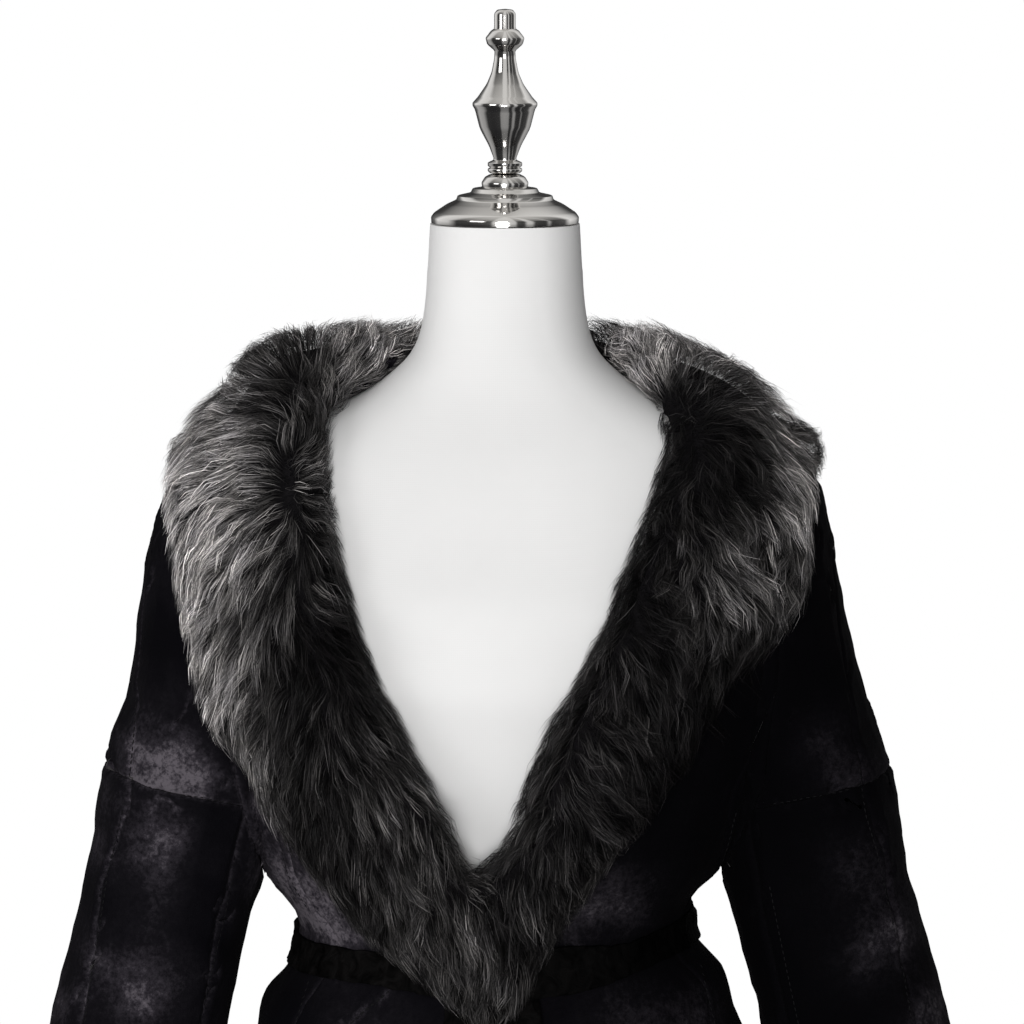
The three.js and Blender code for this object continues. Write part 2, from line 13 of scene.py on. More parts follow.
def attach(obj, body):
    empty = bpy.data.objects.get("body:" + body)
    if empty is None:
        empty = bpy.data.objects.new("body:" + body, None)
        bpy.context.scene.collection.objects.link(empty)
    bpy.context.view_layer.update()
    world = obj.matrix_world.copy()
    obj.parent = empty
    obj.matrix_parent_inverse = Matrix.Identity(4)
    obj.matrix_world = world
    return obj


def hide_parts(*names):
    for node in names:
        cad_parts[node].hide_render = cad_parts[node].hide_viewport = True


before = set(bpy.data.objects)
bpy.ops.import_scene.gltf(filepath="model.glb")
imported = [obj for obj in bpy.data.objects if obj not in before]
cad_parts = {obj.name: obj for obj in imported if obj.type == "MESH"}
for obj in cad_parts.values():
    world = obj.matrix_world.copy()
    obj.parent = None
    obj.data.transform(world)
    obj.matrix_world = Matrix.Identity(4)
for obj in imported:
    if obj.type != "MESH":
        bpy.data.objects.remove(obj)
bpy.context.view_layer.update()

# The camera stands five metres in front of the coat's chest and six degrees above it, with a long
# lens, as a shop's camera does for a close view from the collar to just under the belt.
VIEW_POINT = Vector((0.0049, 0, 1.3536))
VIEW_DISTANCE = 5.0
VIEW_RISE = math.radians(6)
VIEW_SPAN = 0.7168
bpy.ops.object.select_all(action="DESELECT")
bpy.ops.object.camera_add(
    location=VIEW_POINT + VIEW_DISTANCE * Vector((0, -math.cos(VIEW_RISE), math.sin(VIEW_RISE))),
    rotation=(math.pi / 2 - VIEW_RISE, 0, 0),
)
shop_camera = bpy.context.object
shop_camera.name = "shop_camera"
shop_camera.data.sensor_width = 36
shop_camera.data.lens = 36 * VIEW_DISTANCE / VIEW_SPAN
bpy.context.scene.camera = shop_camera


# The stand's foot and pole: turned steel, polished and nickel plated, with a felt-flat underside.
# The pole ends in a flange that is screwed under the dress form.
FOOT = [(0, 0), (180, 0), (182, 3), (180, 7), (168, 10), (70, 17), (34, 24), (24, 34), (22, 62), (0, 62)]
POLE = [(0, 62.3), (12.5, 62.3), (12.5, 757.7), (20, 765.7), (56, 771.7), (58, 779.7), (0, 779.7)]
LATHE_STEPS = 72
CORNER = 0.12


class Nodes:
    """The nodes of a finish or of the studio. Each call adds one, and gives what comes out of it."""

    def __init__(self, owner, place="Object"):
        owner.use_nodes = True
        self.owner = owner
        self.tree = owner.node_tree
        self.place = self.add("TexCoord", {}).outputs[place]

    def put(self, socket, source):
        """A socket takes a plain number or colour, or another node's output."""
        if isinstance(source, bpy.types.NodeSocket):
            self.tree.links.new(source, socket)
        else:
            socket.default_value = source

    def add(self, kind, inputs, **settings):
        node = self.tree.nodes.new("ShaderNode" + kind)
        for key, value in settings.items():
            setattr(node, key, value)
        for key, source in inputs.items():
            self.put(node.inputs[key], source)
        return node

    def shade(self, **values):
        """Sets the shader's own sockets."""
        for key, source in values.items():
            self.put(self.tree.nodes["Principled BSDF"].inputs[key.replace("_", " ")], source)

    def noise(self, scale, detail, **more):
        inputs = {"Vector": self.place, "Scale": scale, "Detail": detail, **more}
        return self.add("TexNoise", inputs).outputs["Fac"]

    def math(self, operation, first, second, use_clamp=False):
        return self.add("Math", {0: first, 1: second}, operation=operation, use_clamp=use_clamp).outputs[0]

    def spread(self, value, start, end, low=0.0, high=1.0):
        """The value's stretch from start to end, spread from low to high."""
        inputs = {"Value": value, "From Min": start, "From Max": end, "To Min": low, "To Max": high}
        return self.add("MapRange", inputs).outputs["Result"]

    def ramp(self, value, *stops):
        """Colours along a value from 0 to 1."""
        node = self.add("ValToRGB", {"Fac": value})
        elements = node.color_ramp.elements
        for element, (at, tone) in zip(elements, (stops[0], stops[-1])):
            element.position = at
            element.color = (*tone, 1)
        for at, tone in stops[1:-1]:
            elements.new(at).color = (*tone, 1)
        return node.outputs["Color"]

    def mix(self, share, first, second, **settings):
        return self.add("Mix", {0: share, 6: first, 7: second}, data_type="RGBA", **settings).outputs[2]

    def bump(self, height, strength, distance, under=None):
        """Bumps of that height in metres, over finer ones if there are any."""
        inputs = {"Height": height, "Strength": strength, "Distance": distance}
        if under is not None:
            inputs["Normal"] = under
        return self.add("Bump", inputs).outputs["Normal"]


def new_finish(name):
    return Nodes(bpy.data.materials.new(name))


def eased(profile):
    """Takes the corners off a turned outline, which leaves its two ends where they are."""
    cut = [profile[0]]
    for (r0, z0), (r1, z1) in zip(profile, profile[1:]):
        for share in (CORNER, 1 - CORNER):
            cut.append((r0 * (1 - share) + r1 * share, z0 * (1 - share) + z1 * share))
    return cut + [profile[-1]]


def turn_on_lathe(name, profile):
    """Draws the outline by extruding one point, in mm, and spins it round the stand's axis."""
    bpy.ops.object.select_all(action="DESELECT")
    bpy.ops.mesh.primitive_plane_add(size=0.001)
    piece = bpy.context.object
    piece.name = name
    bpy.ops.object.mode_set(mode="EDIT")
    bpy.ops.mesh.merge(type="CENTER")
    outline = [Vector((r / 1000, 0, z / 1000)) for r, z in profile]
    bpy.ops.transform.translate(value=outline[0])
    for here, there in zip(outline, outline[1:]):
        bpy.ops.mesh.extrude_region_move(TRANSFORM_OT_translate={"value": there - here})
    bpy.ops.mesh.select_all(action="SELECT")
    bpy.ops.mesh.spin(steps=LATHE_STEPS, angle=2 * math.pi, center=(0, 0, 0), axis=(0, 0, 1))
    bpy.ops.mesh.select_all(action="SELECT")
    bpy.ops.mesh.remove_doubles(threshold=0.00001)
    bpy.ops.mesh.normals_make_consistent(inside=False)
    bpy.ops.object.mode_set(mode="OBJECT")
    bpy.ops.object.shade_smooth_by_angle(angle=math.radians(38))
    return piece


def stand_for(piece, *nodes, slot, look=None):
    """The piece rides with the coat in place of its CAD nodes, and takes the finish it is given, if any.
    The slot is not used.
    """
    if look is not None:
        piece.data.materials.clear()
        piece.data.materials.append(look.owner)
    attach(piece, "root")
    if nodes:
        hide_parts(*nodes)


nickel = new_finish("polished_nickel")
tarnish = nickel.spread(nickel.noise(34.0, 4.0), 0.0, 1.0, 0.05, 0.13)
nickel.shade(Base_Color=(0.66, 0.645, 0.625, 1), Metallic=1.0, Roughness=tarnish)
for name, profile, node in (("turned_foot", FOOT, "stand_foot"), ("turned_pole", POLE, "stand_pole")):
    stand_for(turn_on_lathe(name, eased(profile)), node, slot="bright_metal", look=nickel)


# The dress form: papier-mache on a turned neck, covered with white stretched jersey that is pulled
# smooth. It has no arms or legs, and the coat's shoulders rest on it. Its neck is left a little
# long while the mesh is made even, and then cut flat under the cap.
FORM_GRAIN = 0.0068
NECK_SPARE = 0.02


def opened(node):
    """A CAD node's mesh, opened for work, with its loose triangles joined."""
    work = bmesh.new()
    work.from_mesh(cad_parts[node].data)
    bmesh.ops.remove_doubles(work, verts=work.verts, dist=1e-6)
    return work


def placed(mesh):
    """The mesh as an object under the same name."""
    piece = bpy.data.objects.new(mesh.name, mesh)
    bpy.context.collection.objects.link(piece)
    return piece


def closed(work, name):
    mesh = bpy.data.meshes.new(name)
    work.to_mesh(mesh)
    work.free()
    return placed(mesh)


def alone(piece):
    bpy.ops.object.select_all(action="DESELECT")
    piece.select_set(True)
    bpy.context.view_layer.objects.active = piece


def finished_with(piece, kind, **settings):
    """Puts a modifier on the piece, and applies it."""
    alone(piece)
    modifier = piece.modifiers.new(kind.lower(), kind)
    for key, value in settings.items():
        setattr(modifier, key, value)
    bpy.ops.object.modifier_apply(modifier=modifier.name)


def even_out(piece, size):
    """Remakes the mesh in even faces of that size."""
    finished_with(piece, "REMESH", mode="VOXEL", voxel_size=size)


def soften(piece, rounds, factor=0.5):
    finished_with(piece, "SMOOTH", factor=factor, iterations=rounds)


jersey = new_finish("white_jersey")
ribs, rows = (
    jersey.add(
        "TexWave", {"Vector": jersey.place, "Scale": scale, "Distortion": 1.2}, bands_direction=way
    ).outputs["Fac"]
    for scale, way in ((230.0, "X"), (260.0, "Z"))
)
cloth_white = jersey.ramp(jersey.noise(9.0, 5.0), (0.3, (0.77, 0.765, 0.76)), (0.7, (0.81, 0.805, 0.8)))
knit = jersey.bump(jersey.math("MULTIPLY", ribs, rows), 0.12, 0.0003)
jersey.shade(Base_Color=cloth_white, Normal=knit, Roughness=0.85, Sheen_Weight=0.15, Sheen_Roughness=0.5)

covered_form = closed(opened("dress_form"), "covered_form")
NECK_TOP = max(v.co.z for v in covered_form.data.vertices)
for vert in covered_form.data.vertices:
    if vert.co.z > NECK_TOP - 0.0005:
        vert.co.z += NECK_SPARE
even_out(covered_form, FORM_GRAIN)
soften(covered_form, 14)
alone(covered_form)
bpy.ops.object.mode_set(mode="EDIT")
bpy.ops.mesh.select_all(action="SELECT")
bpy.ops.mesh.bisect(plane_co=(0, 0, NECK_TOP), plane_no=(0, 0, 1), use_fill=True, clear_outer=True)
bpy.ops.object.mode_set(mode="OBJECT")
bpy.ops.object.shade_smooth_by_angle(angle=math.radians(50))
stand_for(covered_form, "dress_form", slot="form_cover", look=jersey)


# The neck cap and its finial: turned brass under bright nickel, screwed into the top of the neck.
CAP = [
    (0, 1556), (51.3, 1556), (51.6, 1560.5), (49.5, 1563.5), (40.5, 1569.5), (34, 1572.5), (33, 1575.5),
    (24, 1577.5), (22.5, 1580.5), (16, 1581.5), (16.4, 1584.5), (14, 1588.4), (10.4, 1590.3), (0, 1590.7),
]
FINIAL = [
    (0, 1590.8), (10.2, 1590.8), (12, 1592.4), (12, 1594), (10.4, 1595), (12, 1596), (12, 1598.4),
    (7.6, 1600.5), (11.2, 1610), (17.6, 1622), (20.9, 1635), (22.6, 1638), (22.6, 1640), (19, 1644),
    (12.8, 1653), (9.4, 1661), (7.6, 1670), (7.2, 1676), (12.4, 1680.5), (13.6, 1685), (9.8, 1690),
    (7.5, 1691.5), (7.5, 1702), (5.4, 1704.6), (0, 1705.2),
]
for name, profile, node in (("nickel_cap", CAP, "neck_cap"), ("nickel_finial", FINIAL, "finial")):
    stand_for(turn_on_lathe(name, eased(profile)), node, slot="bright_metal", look=nickel)


# The worn cloth: one smooth skin over all the coat's panels, which the panels are then laid on. It
# only guides them, and isn't kept. Each panel is given with its flat size and its area.
SUEDE_PANELS = {
    "front_right": ((0.26, 0.99), 0.138),
    "front_left": ((0.36, 0.99), 0.220),
    "side_right": ((0.38, 0.80), 0.176),
    "side_left": ((0.35, 0.80), 0.160),
    "back_right": ((0.27, 1.00), 0.184),
    "back_left": ((0.27, 1.00), 0.186),
    "sleeve_right_cap_front": ((0.13, 0.24), 0.020),
    "sleeve_right_cap_back": ((0.19, 0.24), 0.029),
    "sleeve_right_front": ((0.12, 0.34), 0.030),
    "sleeve_right_under": ((0.11, 0.36), 0.028),
    "sleeve_right_back": ((0.25, 0.35), 0.069),
    "sleeve_left_cap_front": ((0.12, 0.22), 0.016),
    "sleeve_left_cap_back": ((0.19, 0.24), 0.030),
    "sleeve_left_front": ((0.12, 0.34), 0.032),
    "sleeve_left_under": ((0.11, 0.36), 0.027),
    "sleeve_left_back": ((0.25, 0.35), 0.071),
}
# The belt's middle line as x and height, and the middle of a sleeve as height and x, in metres.
BELT_LINE = (
    [-0.26, -0.1, -0.05, 0, 0.06, 0.11, 0.15, 0.26],
    [1.052, 1.051, 1.047, 1.044, 1.05, 1.062, 1.071, 1.074],
)
SLEEVE_MIDDLE = (
    [0.80, 0.90, 0.995, 1.06, 1.106, 1.155, 1.195, 1.233, 1.288, 1.335, 1.372, 1.4],
    [0.295, 0.275, 0.254, 0.239, 0.224, 0.216, 0.206, 0.196, 0.189, 0.187, 0.184, 0.18],
)
# How fine the skin is and how often it is smoothed, three heights, and how far the sleeves and
# the skirt stand out and the waist is drawn in, all in metres.
SKIN_GRAIN = 0.0072
SKIN_ROUNDS = 24
ELBOW, UPPER_ARM, SHOULDER = 1.16, 1.2, 1.3
SLEEVE_FULLER = 0.003
WAIST_DRAWN, WAIST_FULLER = -0.006, 0.0045


def figures(items, key, kind=float, size=3):
    """One figure of each item of a mesh, such as its place, as rows of an array."""
    values = np.empty(len(items) * size, dtype=kind)
    items.foreach_get(key, values)
    return values.reshape(-1, size)


def points_of(mesh):
    return figures(mesh.vertices, "co")


def triangles_of(mesh):
    mesh.calc_loop_triangles()
    return figures(mesh.loop_triangles, "vertices", np.int32)


def lengths(vectors, axis=1):
    return np.linalg.norm(vectors, axis=axis, keepdims=True)


def unit(vectors, axis=1):
    """The vectors, each made one long."""
    return vectors / np.maximum(lengths(vectors, axis), 1e-9)


def smooth_step(value):
    value = np.clip(value, 0, 1)
    return value * value * (3 - 2 * value)


def bell(far, width):
    """One where far is nought, and soon nothing beyond that width."""
    return np.exp(-((far / width) ** 2))


def settle(points, edges, rounds):
    """Moves each point half way to its neighbours' middle, that many times."""
    count = np.bincount(edges.ravel(), minlength=len(points))[:, None]
    first, second = edges.T
    for _ in range(rounds):
        total = [
            np.bincount(first, points[second, k], len(points))
            + np.bincount(second, points[first, k], len(points))
            for k in range(3)
        ]
        points = points * 0.5 + np.stack(total, axis=1) / np.maximum(count, 1) * 0.5
    return points


def joined(nodes, name):
    """Those CAD nodes as one object of its own."""
    pieces = [closed(opened(node), name) for node in nodes]
    bpy.ops.object.select_all(action="DESELECT")
    for piece in pieces:
        piece.select_set(True)
    bpy.context.view_layer.objects.active = pieces[0]
    bpy.ops.object.join()
    return bpy.context.object


skin = joined(SUEDE_PANELS, "skin")
even_out(skin, SKIN_GRAIN)
skin_faces = triangles_of(skin.data)
skin_edges = figures(skin.data.edges, "vertices", np.int32, 2)
skin_before = points_of(skin.data)
skin_once = settle(skin_before, skin_edges, SKIN_ROUNDS)
skin_after = 2 * skin_once - settle(skin_once, skin_edges, SKIN_ROUNDS)
skin_shift = skin_after - skin_before
corners = skin_after[skin_faces]
face_way = np.cross(corners[:, 1] - corners[:, 0], corners[:, 2] - corners[:, 0])
skin_way = np.zeros_like(skin_after)
for k in range(3):
    np.add.at(skin_way, skin_faces[:, k], face_way)
skin_way = unit(skin_way)
skin_tree = BVHTree.FromPolygons(skin_before.tolist(), skin_faces.tolist())
bpy.data.objects.remove(skin)


def sleeve_middle(points):
    return np.interp(points[:, 2], *SLEEVE_MIDDLE)


def above_belt(points):
    """How far each point is above the belt's middle line."""
    return points[:, 2] - np.interp(points[:, 0], *BELT_LINE)


def from_the_body(points, on_sleeve):
    """Which way is out of the coat at each point, roughly, from the middle of the body or the arm."""
    middle = np.zeros_like(points)
    if on_sleeve:
        middle[:, 0] = sleeve_middle(points) * np.sign(points[:, 0])
    middle[:, 2] = np.minimum(points[:, 2], SHOULDER)
    return points - middle


def lay_on_skin(points, on_sleeve=False):
    """The points moved with the worn cloth that is nearest to them, and the way out of the coat."""
    near = [skin_tree.find_nearest(p) for p in points.tolist()]
    face = skin_faces[[n[2] for n in near]]
    at = np.array([n[0] for n in near])
    a, b, c = (skin_before[face[:, k]] for k in range(3))
    whole = np.maximum(lengths(np.cross(b - a, c - a)), 1e-12)
    share_b = lengths(np.cross(at - a, c - a)) / whole
    share_c = lengths(np.cross(b - a, at - a)) / whole
    share = np.stack([1 - share_b - share_c, share_b, share_c], axis=1)
    out = (skin_way[face] * share).sum(axis=1)
    flip = np.sign((out * from_the_body(points, on_sleeve)).sum(axis=1, keepdims=True))
    out = unit(out * np.where(flip == 0, 1, flip))
    worn = points + (skin_shift[face] * share).sum(axis=1)
    side = np.sign(points[:, 0])
    if on_sleeve:
        outer = (points[:, 0] * side > sleeve_middle(points)) * (points[:, 2] < UPPER_ARM)
        worn[:, 0] += side * SLEEVE_FULLER * outer * np.clip((ELBOW - points[:, 2]) / 0.1, 0, 1)
    else:
        above = above_belt(points) / 0.016
        drawn = WAIST_DRAWN * bell(np.maximum(np.abs(above) - 1, 0), 1)
        drawn += WAIST_FULLER * bell(above + 2.6, 1)
        worn[:, 0] += side * drawn * np.clip((np.abs(points[:, 0]) - 0.07) / 0.05, 0, 1)
    return worn, out


# The panels of sheepskin: suede outside, clipped wool inside, cut with a knife and sewn hair to hair.
# Each is a thin shell on its solid's form, with its edges turned into the seams and its creases
# given one by one: how wide and how deep (a ridge is above 0), and its x, z in mm seen from the front.
FRONT, BACK = -1, 1
CREASES = [
    ("sleeve_right", FRONT, [
        (7, -2.6, (-288, 1232), (-252, 1222), (-225, 1224)), (9, 2.2, (-290, 1205), (-262, 1196)),
        (6, -2.4, (-296, 1182), (-268, 1176), (-243, 1181)),
        (8, -2.8, (-302, 1136), (-276, 1126), (-240, 1131), (-222, 1140)),
        (10, 2.0, (-300, 1108), (-262, 1096)), (9, -2.2, (-212, 1118), (-240, 1086), (-252, 1052)),
        (8, -2.6, (-306, 1068), (-280, 1052), (-262, 1046)),
        (9, -2.4, (-200, 1060), (-222, 1030), (-230, 990)), (6, -2.0, (-315, 1040), (-290, 1030)),
        (9, 2.2, (-318, 1012), (-280, 996), (-250, 1000)), (9, -2.6, (-322, 968), (-286, 950), (-240, 956)),
        (10, -2.4, (-330, 905), (-300, 890), (-262, 893)), (9, 2.0, (-228, 930), (-262, 918)),
    ]),
    ("sleeve_right", BACK, [
        (9, -3.0, (-285, 1225), (-240, 1206), (-200, 1212)),
        (10, -3.0, (-296, 1150), (-250, 1128), (-205, 1142)),
        (9, 2.6, (-292, 1096), (-240, 1078), (-196, 1092)),
        (9, -3.2, (-306, 1050), (-260, 1030), (-206, 1046)),
        (11, -2.6, (-318, 960), (-280, 938), (-226, 950)),
    ]),
    ("sleeve_left", FRONT, [
        (8, -2.6, (268, 1214), (240, 1202), (214, 1206)), (6, -2.2, (276, 1172), (250, 1164), (224, 1170)),
        (9, 2.2, (284, 1138), (258, 1122), (226, 1118)),
        (8, -2.8, (290, 1102), (262, 1092), (232, 1098), (206, 1112)),
        (9, -2.2, (196, 1090), (222, 1060), (232, 1030)), (7, -2.6, (296, 1058), (272, 1046), (250, 1050)),
        (10, 2.2, (302, 1020), (262, 1006)), (9, -2.6, (308, 980), (276, 962), (238, 964)),
        (10, -2.4, (320, 915), (288, 902), (250, 908)),
    ]),
    ("sleeve_left", BACK, [
        (9, -3.0, (262, 1228), (226, 1210), (188, 1216)), (10, -3.0, (280, 1140), (240, 1118), (196, 1130)),
        (9, 2.4, (286, 1086), (240, 1070), (192, 1080)), (9, -3.2, (296, 1040), (252, 1020), (200, 1036)),
        (11, -2.6, (312, 950), (270, 928), (220, 942)),
    ]),
    ("body", FRONT, [
        (5, -2.0, (-150, 1110), (-128, 1096), (-118, 1082)),
        (6, 2.0, (-118, 1120), (-104, 1092), (-100, 1074)),
        (4, -2.0, (-92, 1118), (-84, 1092), (-84, 1074)),
        (5, -2.4, (-148, 1026), (-136, 1006), (-132, 978)),
        (6, 2.2, (-128, 1028), (-112, 1000), (-108, 960)),
        (7, -2.6, (-112, 1026), (-94, 996), (-86, 940), (-84, 870)),
        (6, -2.2, (-62, 1022), (-54, 985), (-52, 925)), (5, 1.8, (-84, 1024), (-74, 990)),
        (8, 2.0, (-22, 1020), (-30, 960), (-34, 880)), (6, -2.2, (46, 1026), (58, 996), (62, 950)),
        (7, -2.8, (78, 1032), (86, 1000), (92, 948), (94, 890)), (5, 2.0, (62, 1028), (72, 1004)),
        (5, 2.2, (104, 1036), (110, 1004), (116, 970)), (5, -2.4, (122, 1044), (130, 1016), (134, 986)),
        (5, -1.8, (112, 1108), (104, 1092)), (6, 1.8, (132, 1118), (120, 1096)),
    ]),
    ("body", BACK, [
        (7, -2.8, (-138, 1026), (-126, 990), (-122, 930)), (6, 2.4, (-104, 1034), (-98, 1000), (-96, 960)),
        (8, -3.0, (-70, 1036), (-64, 990), (-66, 930), (-70, 860)),
        (6, 2.0, (-34, 1038), (-30, 1006), (-32, 960)), (7, -2.8, (22, 1038), (20, 996), (24, 940)),
        (6, 2.2, (52, 1040), (56, 1000), (60, 956)),
        (8, -3.0, (84, 1042), (88, 1000), (94, 930), (100, 860)),
        (6, -2.4, (118, 1046), (124, 1010), (130, 970)),
        (7, -2.8, (-120, 1086), (-112, 1120), (-112, 1160)), (6, 2.2, (-82, 1090), (-78, 1124)),
        (7, -2.6, (-46, 1088), (-44, 1128), (-50, 1180)), (5, 1.8, (8, 1092), (8, 1124)),
        (7, -2.6, (44, 1092), (42, 1130), (48, 1176)), (6, 2.2, (82, 1096), (78, 1130)),
        (7, -2.6, (112, 1098), (106, 1140), (108, 1178)),
        (12, -2.4, (-160, 1200), (-120, 1214), (-60, 1210)),
        (12, -2.4, (160, 1206), (118, 1222), (64, 1216)),
    ]),
    ("body", FRONT, [
        (12, -3.0, (-160, 760), (-148, 680), (-146, 560)),
        (13, -3.2, (60, 860), (64, 760), (62, 640), (66, 520)),
    ]),
    ("body", BACK, [
        (13, -3.2, (-40, 840), (-42, 720), (-48, 600)), (13, -3.2, (120, 820), (126, 700), (134, 580)),
    ]),
]
# Lapped seams in one panel: the upper layer's edge, as x, z in mm.
LAPS = [
    ("body", [(-78, 1035), (-94, 1022), (-112, 1006), (-126, 986)]),
    ("body", [(27, 1081), (54, 1060)]),
]
# Where the nap is brushed up and shows purple-grey: x, z, radius in mm, and how much.
NAP = [
    (-252, 1174, 19, 0.8), (-234, 1171, 21, 0.95), (-212, 1167, 20, 0.85), (-240, 1190, 21, 0.6),
    (-220, 1190, 18, 0.4), (-262, 1200, 12, 0.3), (-236, 1222, 16, 0.2), (-250, 1137, 24, 0.24),
    (-262, 1118, 22, 0.2), (-236, 1096, 20, 0.18), (-254, 1072, 26, 0.2), (-258, 1040, 24, 0.28),
    (-248, 1018, 18, 0.45), (-272, 1046, 16, 0.24), (-228, 1142, 24, 0.22), (-286, 1130, 26, 0.18),
    (-128, 1074, 26, 1.0), (-110, 1098, 26, 0.9), (-146, 1112, 24, 0.85), (-98, 1082, 18, 0.8),
    (-120, 1030, 18, 0.3), (-100, 1010, 22, 0.35), (-74, 1018, 18, 0.3),
    (40, 1092, 22, 0.7), (66, 1100, 24, 0.5), (92, 1096, 24, 0.3), (72, 1012, 28, 0.3),
    (240, 1170, 18, 0.45), (266, 1182, 16, 0.55), (268, 1142, 14, 0.5), (264, 1094, 24, 0.6),
    (248, 1052, 22, 0.5), (276, 1064, 18, 0.6), (300, 1012, 20, 0.8), (286, 985, 20, 0.6),
    (222, 1200, 22, 0.3), (240, 1120, 18, 0.35), (130, 1012, 26, 0.6), (90, 1000, 22, 0.3),
    (-282, 1160, 20, 0.32), (-280, 1120, 20, 0.3), (-298, 1060, 22, 0.34), (-304, 1010, 22, 0.4),
    (-152, 1140, 20, 0.7), (-160, 1160, 16, 0.6), (-148, 1090, 18, 0.8),
]
# How fine the mesh is, and finer near a panel's rim, in metres, and the angles in radians that
# make a rim, part two walls, or keep an edge crisp. Then how high a lap stands, in mm, and how
# much the nap is rubbed off along edges.
PANEL_EDGE = 0.0105
RIM_EDGE = 0.0046
RIM_REACH = 0.007
RIM_ANGLE = 0.75
SAME_WALL = 0.6
CREST_ANGLE = 0.9
LAP_STEP = 1.6
RUBBED = 0.6


def away_from(line, points):
    """How far each point lies from a line of x, z, and how far along it the nearest spot is."""
    best = np.full(len(points), 1e9)
    along = np.zeros(len(points))
    spans = [math.dist(p, q) for p, q in zip(line, line[1:])]
    done = 0.0
    for (x0, z0), (x1, z1), span in zip(line, line[1:], spans):
        t = ((points[:, 0] - x0) * (x1 - x0) + (points[:, 2] - z0) * (z1 - z0)) / span**2
        t = np.clip(t, 0, 1)
        far = np.hypot(points[:, 0] - x0 - t * (x1 - x0), points[:, 2] - z0 - t * (z1 - z0))
        closer = far < best
        best[closer] = far[closer]
        along[closer] = (done + t[closer] * span) / sum(spans)
        done += span
    return best, along


def clouds(points, scale):
    return np.array([noise.fractal(p * scale, 1, 2, 3) for p in map(Vector, points)])


def creased(points, group):
    """How far the cloth stands out at each point, in metres, from its creases."""
    flat = points * 1000
    rise = clouds(points, Vector((9, 9, 7))) * 1.5
    for where, side, creases in CREASES:
        if where != group:
            continue
        on_side = smooth_step(flat[:, 1] * side / 22 + 0.3)
        for width, depth, *line in creases:
            far, along = away_from(line, flat)
            rise += depth * bell(far, width) * (np.sin(math.pi * (0.06 + 0.88 * along)) * on_side)
    if group == "body":
        rise *= smooth_step((np.abs(above_belt(points)) - 0.015) / 0.012)
    return rise / 1000


def cut_finer(work, edges):
    bmesh.ops.subdivide_edges(work, edges=edges, cuts=1)
    bmesh.ops.triangulate(work, faces=[f for f in work.faces if len(f.verts) > 3])


def cut_down(work, longest):
    """Halves the long edges until none is longer than that."""
    for _ in range(9):
        wide = [e for e in work.edges if e.calc_length() > longest]
        if not wide:
            break
        cut_finer(work, wide)


def nap_with_painted_shade_at(points, node):
    """How much the pile is brushed up at each point, on the front by the table, elsewhere at random, with
    the random part lessened towards the wearer's left on the front as painted shade.
    """
    flat = points * 1000
    amount = np.zeros(len(points))
    for x, z, radius, strength in NAP:
        if node.startswith("sleeve") and ("cap" in node) != (z > 1160):
            continue
        far = np.hypot(flat[:, 0] - x, flat[:, 2] - z)
        amount += strength * bell(far, radius) * (flat[:, 1] < 20)
    cloudy = clouds(points, 16)
    shown = (flat[:, 1] < 50) & (flat[:, 2] > 990)
    # On the front the random brushing fades towards the wearer's left: painted shade for that side.
    faint = np.where(shown, 0.34 - 0.24 * smooth_step(flat[:, 0] / 60), 0.75)
    if node.startswith("side"):
        faint *= 0.3
    return np.clip(amount * (1 + 0.5 * cloudy) + np.clip(cloudy + 0.2, 0, 1) * faint, 0, 1.2)


def inner_walls(work, on_sleeve):
    """Which faces belong to the shell's inner wall: each patch between sharp edges counts as a whole."""
    inner = np.zeros(len(work.faces), dtype=bool)
    left = set(work.faces)
    for start in work.faces:
        if start not in left:
            continue
        left.remove(start)
        patch = [start]
        for face in patch:
            for edge in face.edges:
                for other in edge.link_faces:
                    if other in left and edge.calc_face_angle(0) < SAME_WALL:
                        left.remove(other)
                        patch.append(other)
        sizes = np.array([f.calc_area() for f in patch])
        outward = from_the_body(np.array([f.calc_center_median() for f in patch]), on_sleeve)
        outward[:, 2] = 0
        facing = (unit(outward) * np.array([f.normal for f in patch])).sum(axis=1)
        inner[[f.index for f in patch]] = (facing * sizes).sum() < -0.4 * sizes.sum()
    return inner


def search_tree(spots):
    tree = KDTree(len(spots))
    for i, spot in enumerate(spots):
        tree.insert(spot, i)
    tree.balance()
    return tree


def middle_of(edge):
    return (edge.verts[0].co + edge.verts[1].co) / 2


